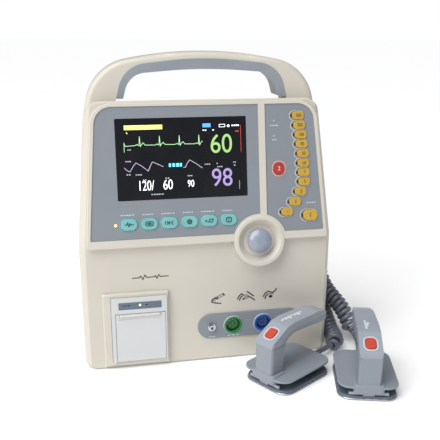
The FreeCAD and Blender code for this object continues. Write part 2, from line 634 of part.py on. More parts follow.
def mains_inlet():
    """The three-pole mains inlet with its flange on the back."""
    x0, x1, z0, z1 = INLET
    back, edge, recess = LOWER_REAR_Y, INLET_FLANGE, INLET_RECESS
    body = block(x0, x1, INLET_FRONT_Y, back, z0, z1)
    body = body.fuse(block(x0 - edge, x1 + edge, back, back + 2, z0 - edge, z1 + edge))
    low, high = z0 + recess / 2, z1 - recess / 2
    body = body.cut(block(x0 + recess, x1 - recess, INLET_FRONT_Y + recess, back + 3, low, high))
    for x, z in INLET_PINS:
        body = body.fuse(block(x - 1, x + 1, INLET_FRONT_Y + recess - 1, back, z - 2, z + 2))
    return body


def cord_outlet():
    """The side housing that the two paddle cords hang from."""
    x1 = OUTLET[1]
    return softened(block(*OUTLET), OUTLET_R, lambda e: e.BoundBox.XMin > x1 - 0.1)


def cord_glands():
    """Two tapered strain reliefs that point down."""
    length = OUTLET[4] - OUTLET_Z
    glands = [Part.makeCone(*GLAND_R, length, V(OUTLET_X, y, OUTLET_Z)) for y in OUTLET_Y]
    return Part.makeCompound(glands)


# --- The paddles ----------------------------------------------------------------------------


def side_profile(corners, half):
    """A solid across the paddle from an (a, z) outline."""
    solid = prism(corners, -half, half)
    solid.Placement = FreeCAD.Placement(V(0, 0, 0), FreeCAD.Rotation(V(1, 0, 0), 90))
    return solid


def grip_side():
    """The grip and post seen from the side, with the finger space under it."""
    front, foot = POST_FRONT, POST_FOOT_Z
    return [
        (front + 1.2, foot, 0), (front, 57.0, 1.5), (*BEVEL_FRONT, 2), (*BEVEL_TOP, 8), (5, 77, 30),
        (-40, 76.6, 20), (-60.5, 71.5, 5), (-61, 60.2, 3), (-46, 60.6, 25), (-22, 63, 60), (5, 64.4, 30),
        (19.5, 59.6, 14), (24.7, 43, 20), (24.7, foot, 0),
    ]


def grip_plan(inset=0.0):
    """The grip seen from above: it narrows a little towards its rear end."""
    front, rear = POST_FRONT + 1.5 - inset, -62 + inset
    half, waist, end = GRIP_HALF - inset, 12.9 - inset, 10.4 - inset
    right = [(front, half, 4.5), (-30, waist, 20), (rear, end, 6)]
    return [(a, -b, radius) for a, b, radius in reversed(right)] + right


def grip_block():
    """The whole grip and post before it is split into cover and housing."""
    return side_profile(grip_side(), 20).common(prism(grip_plan(), 0, 90))


def cover_split():
    """The region of the light cover: above a line along the grip and above the groove on the post."""
    corners = [
        (50, GROOVE_Z), (50, 90), (-70, 90), (-70, 66.5), (-45, 68.2), (0, 69.6), (16, 66.5), (33, GROOVE_Z),
    ]
    return side_profile([(*corner, 0) for corner in corners], 30)


def paddle_housing():
    """The flange, the boss under it, the post and the grip's underside, with the groove below the cover."""
    flange = prism(rectangle(FLANGE_SHIFT, 0, FLANGE_A, FLANGE_B, SHOE_R), FLANGE_LOW, FLANGE_HIGH)
    flange = softened(flange, 0.8, flat_at(FLANGE_HIGH))
    boss = prism(rectangle(BOSS_SHIFT, 0, *BOSS), SHOE_Z + 0.4, FLANGE_LOW + 0.5)
    post = grip_block().cut(cover_split())
    skirt = prism(rectangle(SKIRT_SHIFT, 0, *SKIRT), SKIRT_LOW, FLANGE_HIGH + 1.8)
    skirt = softened(skirt, 1.7, flat_at(FLANGE_HIGH + 1.8))
    body = flange.fuse([boss, post, skirt])
    band = prism(grip_plan(), GROOVE_Z - GROOVE_W, GROOVE_Z).cut(prism(grip_plan(0.7), 50, 60))
    return body.cut(band).cut(button_well())


def button_tilt(solid):
    """From the sloping bevel's own axes to the paddle's."""
    run, rise = BEVEL_FRONT[0] - BEVEL_TOP[0], BEVEL_TOP[1] - BEVEL_FRONT[1]
    slope = math.atan2(rise, run)
    nearer = 2.52
    a = (BEVEL_FRONT[0] + BEVEL_TOP[0]) / 2 + nearer * math.cos(slope)
    z = (BEVEL_FRONT[1] + BEVEL_TOP[1]) / 2 - nearer * math.sin(slope)
    turn = FreeCAD.Rotation(V(0, 1, 0), math.degrees(slope))
    solid.Placement = FreeCAD.Placement(V(a, 0, z), turn).multiply(solid.Placement)
    return solid


def button_well():
    across, up = (size + 2 * BUTTON_GAP for size in BUTTON_SIZE)
    return button_tilt(prism(rectangle(0, 0, across, up, BUTTON_R + 0.2), -9, 3))


def paddle_cover():
    """The light upper shell of the grip."""
    return grip_block().common(cover_split()).cut(button_well())


def paddle_button():
    """The discharge button on the bevel."""
    cap = prism(rectangle(0, 0, *BUTTON_SIZE, BUTTON_R), -5.5, BUTTON_PROUD)
    return button_tilt(softened(cap, 0.7, flat_at(BUTTON_PROUD)))


def paddle_latch():
    """Two bars in front of the boss, joined by a tab below the post."""
    front = LATCH_A + LATCH_T
    bars = [
        block(LATCH_A, front, low, high, LATCH_LOW, LATCH_HIGH)
        for low, high in ((-LATCH_HALF, -LATCH_GAP), (LATCH_GAP, LATCH_HALF))
    ]
    tab = block(LATCH_A - 1, front + 0.8, -LATCH_GAP - 2, LATCH_GAP + 2, SHOE_Z + 0.5, LATCH_HIGH - 0.6)
    return bars[0].fuse([bars[1], tab])


def paddle_shoe():
    """The dark tray that carries the electrode and slides under the flange."""
    tray = prism(rectangle(0, 0, SHOE_A - 2, SHOE_B - 2, SHOE_R - 1), PLATE_Z, SHOE_Z)
    return softened(tray, 1.0, flat_at(SHOE_Z))


def paddle_electrode():
    """The metal contact plate."""
    plate = prism(rectangle(0, 0, SHOE_A, SHOE_B, SHOE_R), 0, PLATE_Z)
    return softened(plate, 0.8, flat_at(PLATE_Z))


def paddle_gland():
    """The cord's tapered strain relief behind the boss."""
    return Part.makeCone(*PADDLE_GLAND_R, PADDLE_GLAND_LENGTH, V(PADDLE_GLAND_A, 0, 10), V(1, 0, 0))


# --- The cords ------------------------------------------------------------------------------


def route_edges(points):
    """Straight runs joined by tangent arcs as large as the runs allow: the edges and the radii."""
    points = [V(*p) for p in points]
    edges, radii, start = [], [], points[0]
    for before, here, after in zip(points, points[1:], points[2:]):
        back, on = (before - here), (after - here)
        shorter = min(back.Length, on.Length)
        back.normalize()
        on.normalize()
        half_turn = (math.pi - back.getAngle(on)) / 2
        radius = 0.45 * shorter / math.tan(half_turn)
        radii.append(radius)
        reach = 0.45 * shorter
        middle = here + (back + on).normalize() * (radius / math.cos(half_turn))
        top = middle + (here - middle).normalize() * radius
        first, last = here + back * reach, here + on * reach
        edges.append(Part.LineSegment(start, first).toShape())
        edges.append(Part.Arc(first, top, last).toShape())
        start = last
    edges.append(Part.LineSegment(start, points[-1]).toShape())
    return edges, radii


def tube(name, points, radius):
    """A round tube along a route."""
    edges, radii = route_edges(points)
    path = Part.Wire(edges)
    direction = (V(*points[1]) - V(*points[0])).normalize()
    ring = Part.Wire(Part.makeCircle(radius, V(*points[0]), direction))
    solid = path.makePipeShell([ring], True, False)
    expected = math.pi * radius**2 * path.Length
    rounded = [round(r) for r in radii]
    print(f"{name}: length {path.Length:.1f}, radii {rounded}, volume/expected {solid.Volume / expected:.4f}")
    return solid


def paddle_cord(side):
    """The curly stretch as one fat tube of its outer size, and the plain lead that goes into the paddle."""
    coil, lead = (LEFT_COIL, LEFT_LEAD) if side == "left" else (RIGHT_COIL, RIGHT_LEAD)
    fat = tube(f"cord_{side} coil", coil, COIL_R)
    thin = tube(f"cord_{side} lead", lead, WIRE_R)
    return Part.makeCompound([fat, thin])


# --- Everything -----------------------------------------------------------------------------

PADDLE_PIECES = {
    "electrode": paddle_electrode,
    "shoe": paddle_shoe,
    "housing": paddle_housing,
    "cover": paddle_cover,
    "button": paddle_button,
    "latch": paddle_latch,
    "gland": paddle_gland,
}

os.makedirs("parts", exist_ok=True)
front_shell, rear_shell = case_halves()
save("front_shell", front_shell)
save("rear_shell", rear_shell)
save("handle_grip", handle_grip())
save("foot_ring", foot_ring())
save("panel_bezel", panel_bezel())
save("panel_overlay", panel_overlay())
save("display_window", display_window())
save("lcd_module", lcd_module())
save("main_board", main_board())
for key_name, key_at, key_size in key_places():
    save(key_name, key_cap(key_at, key_size))
save("status_leds", status_leds())
save("encoder", encoder())
save("knob", knob())
save("connector_plate", connector_plate())
save("air_port", air_port())
save("ecg_socket", socket(ECG_X))
save("oximeter_socket", socket(OXIMETER_X))
save("printer_body", printer_body())
save("printer_door", printer_door())
save("platen_roller", platen_roller())
save("paper_roll", paper_roll())
save("battery_pack", battery_pack())
save("hv_capacitor", hv_capacitor())
save("mains_inlet", mains_inlet())
save("cord_outlet", cord_outlet())
save("cord_glands", cord_glands())
for paddle_side in PADDLES:
    for piece, make in PADDLE_PIECES.items():
        save(f"paddle_{paddle_side}_{piece}", on_paddle(make(), paddle_side))
    save(f"cord_{paddle_side}", paddle_cord(paddle_side))
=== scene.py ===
"""The looks of a portable defibrillator and monitor with two paddles on curly cords. Metres."""

import json
import math

import bmesh
import bpy
from mathutils import Matrix, Vector
from mathutils.bvhtree import BVHTree


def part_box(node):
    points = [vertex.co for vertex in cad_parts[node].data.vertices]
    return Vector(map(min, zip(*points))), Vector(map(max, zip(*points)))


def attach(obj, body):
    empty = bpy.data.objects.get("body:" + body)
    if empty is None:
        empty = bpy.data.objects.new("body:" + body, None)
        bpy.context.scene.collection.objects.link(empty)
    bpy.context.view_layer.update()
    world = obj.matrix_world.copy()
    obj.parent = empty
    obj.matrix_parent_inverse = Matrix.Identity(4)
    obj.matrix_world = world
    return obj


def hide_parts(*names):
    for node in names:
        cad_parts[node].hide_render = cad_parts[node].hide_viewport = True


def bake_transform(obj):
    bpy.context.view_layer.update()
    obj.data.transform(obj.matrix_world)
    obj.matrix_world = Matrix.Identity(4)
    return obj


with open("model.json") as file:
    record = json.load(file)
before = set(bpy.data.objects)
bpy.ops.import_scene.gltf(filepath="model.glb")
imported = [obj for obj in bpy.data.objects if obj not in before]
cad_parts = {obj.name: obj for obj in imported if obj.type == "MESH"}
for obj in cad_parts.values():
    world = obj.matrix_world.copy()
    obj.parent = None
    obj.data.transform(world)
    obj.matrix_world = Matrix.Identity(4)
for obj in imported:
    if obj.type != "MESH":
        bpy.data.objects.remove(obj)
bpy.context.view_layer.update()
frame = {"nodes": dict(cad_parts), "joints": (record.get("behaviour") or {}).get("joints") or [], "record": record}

MM = 0.001
JOINTS = {joint["name"]: joint for joint in frame["joints"]}

# --- The camera ---
CAMERA_AT = (-0.13965, -0.82690, 0.41643)
CAMERA_YAW, CAMERA_PITCH, CAMERA_ROLL = 11.2925, 16.388, 0.168  # degrees: to the right, down, and over
CAMERA_LENS = 54.19

# --- The studio ---
FLOOR_RADIUS = 40.0
SKY_LIGHT = 0.28
LIT_POINT = Vector((0, 0, 0.18))

# --- The cords: the routes of their coils' middles, in millimetres ---
LEFT_ROUTE = [
    (173.5, 50.5, 98), (174.5, 49, 86), (175.5, 42, 72.5), (175.5, 29, 58), (175, 12, 43.5),
    (174.5, -6, 31), (174, -25, 20.4), (173.2, -43, 12.6), (172.3, -58.4, 12), (168.3, -71.9, 12),
    (157.6, -79.8, 12), (145.8, -86.7, 10.6), (133.4, -92.4, 10),
]
RIGHT_ROUTE = [
    (173.5, 23.5, 98), (174, 21.5, 87), (174.5, 17, 77), (175.5, 8.5, 68.5), (177.5, -3, 61),
    (182, -15, 54.5), (187.5, -26, 47.5), (192, -36, 39.5), (195.5, -45, 30), (197.5, -54.5, 19.5),
    (198.4, -71.3, 13.6), (195, -87.5, 11), (188.4, -102.3, 10),
]
WIRE = 0.0068  # the diameter of the cord itself
COIL_R = 0.0084  # from the middle of the coil to the middle of the wire
POINTS_A_TURN = 16
HELIX_STEP = 0.0002
EASE_SHARE = 0.06  # the share of the route over which a coil opens or closes
RELIEF_R = (0.0042, 0.0064)  # a strain relief's radius at its tip and at its base
# The distance between turns at shares of the route's length.
LEFT_PITCH = [(0.0, 0.0105), (0.2, 0.0085), (0.35, 0.0073), (0.6, 0.0073), (0.7, 0.0088), (1.0, 0.0098)]
RIGHT_PITCH = [(0.0, 0.0100), (0.26, 0.0086), (0.34, 0.0070), (0.54, 0.0070), (0.62, 0.0086), (1.0, 0.0098)]
# Where each coil starts and ends, as shares of the route's length.
LEFT_COILED, RIGHT_COILED = (0.04, 0.86), (0.04, 0.73)
LEFT_LENGTH, RIGHT_LENGTH = 1.03, 0.75
CORD_NODES = {"left": "cord_left", "right": "cord_right"}

# --- The control panel's own axes ---
PANEL_HEIGHT = 0.157
PANEL_OUT = Vector(JOINTS["knob_turn"]["axis"]).normalized()
PANEL_UP = Vector((0, PANEL_OUT.z, -PANEL_OUT.y))
overlay_low, overlay_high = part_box("panel_overlay")
PANEL_FOOT = Vector((0, overlay_low.y, overlay_high.z - PANEL_HEIGHT * PANEL_UP.z))
window_low, window_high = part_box("display_window")
PICTURE_W, PICTURE_H = 0.1524, 0.09144
PRINT_T = 0.00012  # how thick printing stands on its surface

# --- The paddles ---
BUTTON_SIZE = (0.0145, 0.0123)
BUTTON_PROUD = 0.0016
GRIP_MARKS = {"left": 7, "right": 4}
ELECTRODE_SIZE, ELECTRODE_R, ELECTRODE_T = (0.0895, 0.0698), 0.0155, 0.0022

# --- Helpers for shapes ---


def axes_matrix(origin, across, up, out):
    """From a flat surface's own coordinates to the object's."""
    m = Matrix.Identity(4)
    for column, vector in enumerate((across, up, out, origin)):
        for row in range(3):
            m[row][column] = vector[row]
    return m


PANEL = axes_matrix(PANEL_FOOT, Vector((1, 0, 0)), PANEL_UP, PANEL_OUT)


def front_at(y, x=0, z=0):
    """The coordinates (x, z, height) of an upright surface that faces the front, from a place on it."""
    return axes_matrix(Vector((x, y, z)), Vector((1, 0, 0)), Vector((0, 0, 1)), Vector((0, -1, 0)))


def rear_at(y, x=0, z=0):
    """The same for a surface that faces the back, with x to the right as seen from behind."""
    return axes_matrix(Vector((x, y, z)), Vector((-1, 0, 0)), Vector((0, 0, 1)), Vector((0, 1, 0)))


def on_panel(point):
    """A point of the object as (x, s) on the panel."""
    away = Vector(point) - PANEL_FOOT
    return away.x, away.dot(PANEL_UP)


def middle_of(node):
    low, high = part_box(node)
    return (low + high) / 2


def body_of(node):
    """The body that a CAD node belongs to."""
    return next(body for body, nodes in frame["record"]["behaviour"]["bodies"].items() if node in nodes)


def link(name, data):
    """A new object in the scene with that mesh, curve, camera or lamp."""
    piece = bpy.data.objects.new(name, data)
    bpy.context.scene.collection.objects.link(piece)
    return piece


def finish_piece(piece, body, material):
    """Every new piece gets its material and its body."""
    piece.data.materials.clear()
    piece.data.materials.append(material)
    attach(piece, body)
    return piece


def made(name, shape, body, material):
    """The finished piece from its bmesh."""
    mesh = bpy.data.meshes.new(name)
    bmesh.ops.recalc_face_normals(shape, faces=shape.faces)
    shape.to_mesh(mesh)
    shape.free()
    return finish_piece(link(name, mesh), body, material)


def plates(name, shapes, matrix, low, high, body, material, slot):
    """Flat closed plates of any number of outlines, between two heights above a surface."""
    shape = bmesh.new()
    for points in shapes:
        face = shape.faces.new([shape.verts.new(matrix @ Vector((x, y, low))) for x, y in points])
        top = bmesh.ops.extrude_face_region(shape, geom=[face])
        moved = [v for v in top["geom"] if isinstance(v, bmesh.types.BMVert)]
        bmesh.ops.translate(shape, verts=moved, vec=matrix.to_3x3() @ Vector((0, 0, high - low)))
    return made(name, shape, body, material)


def stroke(points, width, closed=False):
    """The quads of a line of that width through points, and a small disc at each of them."""
    following = points[1:] + points[:1] if closed else points[1:]
    quads = []
    for (ax, ay), (bx, by) in zip(points, following):
        long = math.hypot(bx - ax, by - ay) or 1e-9
        nx, ny = -(by - ay) / long * width / 2, (bx - ax) / long * width / 2
        quads.append([(ax + nx, ay + ny), (ax - nx, ay - ny), (bx - nx, by - ny), (bx + nx, by + ny)])
    return quads + [circle(x, y, width / 2, 8) for x, y in points]


def circle(x, y, radius, count=32):
    turns = [math.tau * i / count for i in range(count)]
    return [(x + radius * math.cos(turn), y + radius * math.sin(turn)) for turn in turns]


def rectangle(x0, x1, y0, y1):
    return [(x0, y0), (x1, y0), (x1, y1), (x0, y1)]


def oval(x, y, across, up, share=0.46, count=8):
    """A rounded rectangle outline."""
    radius = share * min(across, up)
    points = []
    for corner, (sx, sy) in enumerate(((1, 1), (-1, 1), (-1, -1), (1, -1))):
        cx, cy = x + sx * (across / 2 - radius), y + sy * (up / 2 - radius)
        for i in range(count + 1):
            turn = math.pi / 2 * (corner + i / count)
            points.append((cx + radius * math.cos(turn), cy + radius * math.sin(turn)))
    return points


def ring_mesh(name, outer, inner, matrix, low, high, body, material, slot):
    """A flat band between two outlines of the same number of points."""
    shape = bmesh.new()
    rows = []
    for points, height in ((outer, low), (outer, high), (inner, high), (inner, low)):
        rows.append([shape.verts.new(matrix @ Vector((x, y, height))) for x, y in points])
    count = len(outer)
    for a, b in zip(rows, rows[1:] + rows[:1]):
        for i in range(count):
            shape.faces.new((a[i], a[(i + 1) % count], b[(i + 1) % count], b[i]))
    return made(name, shape, body, material)


def digits(name, text, x, s, height, lift, body, material, squeeze, bold):
    """Numerals as a raised print, centred on a point of the panel."""
    curve = bpy.data.curves.new(name, "FONT")
    curve.body = text
    curve.align_x, curve.align_y = "CENTER", "CENTER"
    curve.size = height * 1.42
    curve.extrude = PRINT_T / 2
    curve.offset = bold
    source = link(name + "_source", curve)
    bpy.context.view_layer.update()
    mesh = bpy.data.meshes.new_from_object(source.evaluated_get(bpy.context.evaluated_depsgraph_get()))
    bpy.data.objects.remove(source)
    mesh.transform(PANEL @ Matrix.Translation((x, s, lift)) @ Matrix.Diagonal((squeeze, 1, 1, 1)))
    mesh.name = name
    return finish_piece(link(name, mesh), body, material)


def turned(name, profile, matrix, body, material, count=40):
    """A lathed piece: (radius, height) points about a surface's own upright axis."""
    shape = bmesh.new()
    rings = []
    for radius, height in profile:
        if radius == 0:
            rings.append([shape.verts.new(matrix @ Vector((0, 0, height)))])
            continue
        outline = circle(0, 0, radius, count)
        rings.append([shape.verts.new(matrix @ Vector((x, y, height))) for x, y in outline])
    for a, b in zip(rings, rings[1:]):
        for i in range(count):
            corners = [a[i % len(a)], a[(i + 1) % len(a)], b[(i + 1) % len(b)], b[i % len(b)]]
            unique = list(dict.fromkeys(corners))
            if len(unique) > 2:
                shape.faces.new(unique)
    piece = made(name, shape, body, material)
    piece.data.shade_smooth()
    piece.data.set_sharp_from_angle(angle=math.radians(35))
    return piece


# --- Materials ---


def nodes_of(name):
    material = bpy.data.materials.new(name)
    material.use_nodes = True
    tree = material.node_tree
    return material, tree, tree.nodes["Principled BSDF"]


def noise(tree, scale, detail=3.0, roughness=0.5):
    place = tree.nodes.new("ShaderNodeTexCoord")
    texture = tree.nodes.new("ShaderNodeTexNoise")
    texture.inputs["Scale"].default_value = scale
    texture.inputs["Detail"].default_value = detail
    texture.inputs["Roughness"].default_value = roughness
    tree.links.new(place.outputs["Object"], texture.inputs["Vector"])
    return texture.outputs["Fac"]


def bump(tree, shader, value, strength, distance):
    node = tree.nodes.new("ShaderNodeBump")
    node.inputs["Strength"].default_value = strength
    node.inputs["Distance"].default_value = distance
    tree.links.new(value, node.inputs["Height"])
    tree.links.new(node.outputs["Normal"], shader.inputs["Normal"])


def shade(colour, factor):
    return tuple(min(1.0, c * factor) for c in colour)


def tint(tree, shader, value, tones, low=0.3, high=0.7, socket="Base Color"):
    """A socket's colour goes from one tone to another between two places of a value."""
    node = tree.nodes.new("ShaderNodeValToRGB")
    node.color_ramp.elements[0].position, node.color_ramp.elements[1].position = low, high
    for element, tone in zip(node.color_ramp.elements, tones):
        element.color = (*tone, 1)
    tree.links.new(value, node.inputs["Fac"])
    tree.links.new(node.outputs["Color"], shader.inputs[socket])


def gloss(tree, shader, value, low, high):
    """The roughness goes from one limit to another as a value does."""
    node = tree.nodes.new("ShaderNodeMapRange")
    node.inputs["To Min"].default_value, node.inputs["To Max"].default_value = low, high
    tree.links.new(value, node.inputs["Value"])
    tree.links.new(node.outputs["Result"], shader.inputs["Roughness"])


def plastic(name, colour, rough=0.42, grain=900.0, depth=0.00005, tone=0.05, coat=0.0):
    """Moulded plastic: a fine spark-eroded grain, slow changes of tone, and uneven gloss."""
    material, tree, shader = nodes_of(name)
    tint(tree, shader, noise(tree, 14.0, 4.0), (shade(colour, 1 - tone), shade(colour, 1 + tone / 2)))
    gloss(tree, shader, noise(tree, 60.0, 5.0), rough - 0.07, rough + 0.09)
    bump(tree, shader, noise(tree, grain, 2.0, 0.6), 0.35, depth)
    shader.inputs["Coat Weight"].default_value = coat
    shader.inputs["Coat Roughness"].default_value = 0.15
    return material


def rubber(name, colour, rough=0.6, grain=1400.0, depth=0.00008, sheen=0.15):
    """Soft-touch rubber or silicone with a fine matt grain."""
    material, tree, shader = nodes_of(name)
    tint(tree, shader, noise(tree, 30.0, 5.0), (shade(colour, 0.9), shade(colour, 1.06)))
    gloss(tree, shader, noise(tree, 90.0, 4.0), rough - 0.1, rough + 0.1)
    bump(tree, shader, noise(tree, grain, 2.0, 0.7), 0.4, depth)
    shader.inputs["Sheen Weight"].default_value = sheen
    return material


def metal(name, colour, rough, stretch, depth=0.00003):
    """Metal with fine brushing along one axis."""
    material, tree, shader = nodes_of(name)
    place = tree.nodes.new("ShaderNodeTexCoord")
    scale = tree.nodes.new("ShaderNodeMapping")
    scale.inputs["Scale"].default_value = stretch
    texture = tree.nodes.new("ShaderNodeTexNoise")
    texture.inputs["Scale"].default_value = 1.0
    texture.inputs["Detail"].default_value = 5.0
    tree.links.new(place.outputs["Object"], scale.inputs["Vector"])
    tree.links.new(scale.outputs["Vector"], texture.inputs["Vector"])
    fac = texture.outputs["Fac"]
    tint(tree, shader, fac, (shade(colour, 0.88), shade(colour, 1.05)))
    gloss(tree, shader, fac, rough - 0.06, rough + 0.12)
    shader.inputs["Metallic"].default_value = 1.0
    bump(tree, shader, fac, 0.3, depth)
    return material


def lit(name, colour, strength, base=None):
    """A glowing element of the display or a lamp, slightly uneven like a pixel grid."""
    material, tree, shader = nodes_of(name)
    unlit = base or colour
    tint(tree, shader, noise(tree, 1500.0), (shade(unlit, 0.85), unlit), 0.2, 0.8)
    tint(tree, shader, noise(tree, 2500.0), (shade(colour, 0.9), colour), 0.1, 0.9, "Emission Color")
    shader.inputs["Emission Strength"].default_value = strength
    shader.inputs["Roughness"].default_value = 0.5
    return material


def ink(name, colour):
    """Screen-printed ink with a faintly uneven film."""
    material, tree, shader = nodes_of(name)
    tint(tree, shader, noise(tree, 700.0), (shade(colour, 0.88), shade(colour, 1.05)))
    shader.inputs["Roughness"].default_value = 0.55
    return material


def circuit_board(name):
    """Green solder mask with a pattern of tracks."""
    material, tree, shader = nodes_of(name)
    place = tree.nodes.new("ShaderNodeTexCoord")
    brick = tree.nodes.new("ShaderNodeTexBrick")
    brick.inputs["Scale"].default_value = 90.0
    brick.inputs["Mortar Size"].default_value = 0.03
    brick.inputs["Color1"].default_value = (0.01, 0.10, 0.03, 1)
    brick.inputs["Color2"].default_value = (0.012, 0.13, 0.04, 1)
    brick.inputs["Mortar"].default_value = (0.25, 0.30, 0.10, 1)
    tree.links.new(place.outputs["Object"], brick.inputs["Vector"])
    tree.links.new(brick.outputs["Color"], shader.inputs["Base Color"])
    shader.inputs["Roughness"].default_value = 0.35
    return material


def paper(name):
    """Thermal paper: a warm white with faint changes of tone and a fine tooth."""
    material, tree, shader = nodes_of(name)
    colour = (0.66, 0.66, 0.64)
    tint(tree, shader, noise(tree, 800.0, 6.0), (shade(colour, 0.94), colour))
    bump(tree, shader, noise(tree, 2200.0), 0.3, 0.00004)
    shader.inputs["Roughness"].default_value = 0.85
    return material


# Each plastic's colour, roughness, grain, depth of grain, change of tone and coat.
PLASTICS = {
    "panel_grey": ((0.230, 0.252, 0.283), 0.44, 1600.0, 0.00002, 0.04),
    "screen_black": ((0.003, 0.0035, 0.006), 0.24, 500.0, 0.000002, 0.2),
    "knob_grey": ((0.27, 0.305, 0.375), 0.26, 900.0, 0.00002, 0.04, 0.35),
    "socket_green": ((0.020, 0.21, 0.050), 0.32, 700.0, 0.00004, 0.10),
    "socket_blue": ((0.018, 0.095, 0.38), 0.32, 700.0, 0.00004, 0.10),
    "printer_white": ((0.60, 0.615, 0.615), 0.36, 1200.0, 0.00003, 0.03),
    "battery_black": ((0.02, 0.02, 0.024), 0.45, 400.0, 0.00006, 0.1),
    "inlet_black": ((0.012, 0.012, 0.012), 0.4, 900.0, 0.00004, 0.2),
    "cord_slate": ((0.125, 0.138, 0.172), 0.27, 1400.0, 0.00003, 0.10, 0.25),
    "paddle_light": ((0.285, 0.315, 0.362), 0.34, 1000.0, 0.00003, 0.04),
    # paddle_dark is the paddle_light plastic made darker: painted shade, since the housings are the same colour as
    # the covers.
    "paddle_dark": ((0.235, 0.263, 0.300), 0.38, 1000.0, 0.00004, 0.05),
    "latch_pale": ((0.30, 0.345, 0.385), 0.30, 900.0, 0.00003, 0.05),
    "shoe_slate": ((0.105, 0.13, 0.165), 0.38, 800.0, 0.00004, 0.08),
}
# Each rubber's colour, roughness, grain, depth of grain and sheen.
RUBBERS = {
    "grip_grey": ((0.26, 0.29, 0.33), 0.5),
    "foot_rubber": ((0.02, 0.02, 0.022), 0.75),
    "key_cyan": ((0.19, 0.45, 0.45), 0.42, 900.0, 0.00004, 0.05),
    "key_yellow": ((0.53, 0.33, 0.040), 0.42, 900.0, 0.00004, 0.05),
    "key_red": ((0.42, 0.028, 0.020), 0.42, 900.0, 0.00004, 0.05),
    "roller_rubber": ((0.015, 0.015, 0.015), 0.7),
    "button_orange": ((0.50, 0.044, 0.020), 0.38, 900.0, 0.00003, 0.05),
}
# Each metal's colour, roughness, brushing along each axis and its depth.
METALS = {
    "lcd_metal": ((0.6, 0.6, 0.62), 0.35, (20, 900, 900)),
    "spindle_steel": ((0.6, 0.6, 0.62), 0.3, (900, 900, 60)),
    "port_chrome": ((0.58, 0.585, 0.60), 0.16, (300, 300, 300), 0.00001),
    "capacitor_can": ((0.72, 0.73, 0.75), 0.3, (30, 800, 800)),
    "electrode_steel": ((0.66, 0.68, 0.72), 0.24, (40, 700, 700)),
}
# The material of each of the record's slots.
M = {
    "case_cream": plastic("cream_plastic", (0.605, 0.568, 0.497), 0.40, 1100.0, 0.00004, 0.03),
    "board_green": circuit_board("board_green"),
    "lamp": lit("lamp_orange", (1.0, 0.45, 0.15), 3.0),
    "paper_white": paper("paper_white"),
}
for make, looks in ((plastic, PLASTICS), (rubber, RUBBERS), (metal, METALS)):
    M.update({name: make(name, *look) for name, look in looks.items()})
INK_DARK = ink("ink_dark", (0.012, 0.012, 0.014))
INK_TEAL = ink("ink_teal", (0.012, 0.085, 0.10))
INK_PALE = ink("ink_pale", (0.62, 0.66, 0.70))
INK_BROWN = ink("ink_brown", (0.16, 0.095, 0.010))
HALO_GREY = ink("halo_grey", (0.50, 0.54, 0.58))
HALO_CREAM = ink("halo_cream", (0.62, 0.60, 0.48))
HALO_PINK = ink("halo_pink", (0.68, 0.42, 0.38))
SEAM_DARK = ink("seam_dark", (0.20, 0.19, 0.165))
STRIP_SLATE = plastic("strip_slate", (0.115, 0.155, 0.205), 0.35, 900.0, 0.00002, 0.06)
# A pale plastic for the contact plate's edge: a painted highlight.
RIM_PAINTED_HIGHLIGHT = plastic("rim_painted_highlight", (0.33, 0.335, 0.385), 0.28, 900.0, 0.00002, 0.04)
PIN_METAL = metal("pin_metal", (0.75, 0.72, 0.60), 0.25, (300, 300, 300), 0.00001)
SCREW_STEEL = metal("screw_steel", (0.42, 0.42, 0.43), 0.35, (200, 200, 200))
# Each glow's colour, strength and, where it differs, its unlit colour.
GLOWS = {
    "green": ((0.46, 0.80, 0.27), 0.85, (0.10, 0.20, 0.06)),
    "lilac": ((0.52, 0.38, 0.80), 0.85, (0.12, 0.09, 0.20)),
    "white": ((0.90, 0.93, 0.98), 0.95),
    "yellow": ((0.80, 0.83, 0.20), 0.85),
    "blue": ((0.10, 0.35, 0.95), 0.8),
    "cyan": ((0.15, 0.75, 0.85), 0.7),
    "red": ((0.75, 0.08, 0.05), 0.5),
    "grey": ((0.40, 0.44, 0.50), 0.45),
    "trace": ((0.45, 0.78, 0.42), 0.6),
    "pleth": ((0.60, 0.52, 0.72), 0.5),
}
GLOW = {name: lit(f"glow_{name}", *look) for name, look in GLOWS.items()}


def dress_cad_nodes():
    """Every CAD node shows its slot's material."""
    slots = {part["node"]: part["material_slot"] for part in frame["record"]["subparts"]}
    for name, piece in frame["nodes"].items():
        piece.data.materials.clear()
        piece.data.materials.append(M[slots[name]])
        for polygon in piece.data.polygons:
            polygon.use_smooth = True
        piece.data.set_sharp_from_angle(angle=math.radians(28))


# --- Camera ---


def make_camera():
    data = bpy.data.cameras.new("camera")
    data.lens = CAMERA_LENS
    data.sensor_width = 36.0
    data.clip_start, data.clip_end = 0.01, 20.0
    camera = link("camera", data)
    yaw = Matrix.Rotation(-math.radians(CAMERA_YAW), 4, "Z")
    pitch = Matrix.Rotation(math.radians(90 - CAMERA_PITCH), 4, "X")
    roll = Matrix.Rotation(math.radians(CAMERA_ROLL), 4, "Z")
    camera.matrix_world = Matrix.Translation(CAMERA_AT) @ (yaw @ pitch) @ roll
    bpy.context.scene.camera = camera


# --- Cords ---


def nurbs(name, points, resolution):
    """A smooth curve with these control points, as an object that isn't in the scene."""
    curve = bpy.data.curves.new(name, "CURVE")
    curve.dimensions = "3D"
    spline = curve.splines.new("NURBS")
    spline.points.add(len(points) - 1)
    for target, point in zip(spline.points, points):
        target.co = (*point, 1)
    spline.order_u = 3
    spline.use_endpoint_u = True
    spline.resolution_u = resolution
    return bpy.data.objects.new(name, curve)


def line_of(holder):
    """The points along a curve that has no thickness yet."""
    mesh = bpy.data.meshes.new_from_object(holder)
    line = [vertex.co.copy() for vertex in mesh.vertices]
    bpy.data.meshes.remove(mesh)
    return line


def route_line(route):
    """The points along the middle of a coil's route."""
    holder = nurbs("route", [Vector(point) * MM for point in route], 24)
    line = line_of(holder)
    bpy.data.objects.remove(holder)
    return line


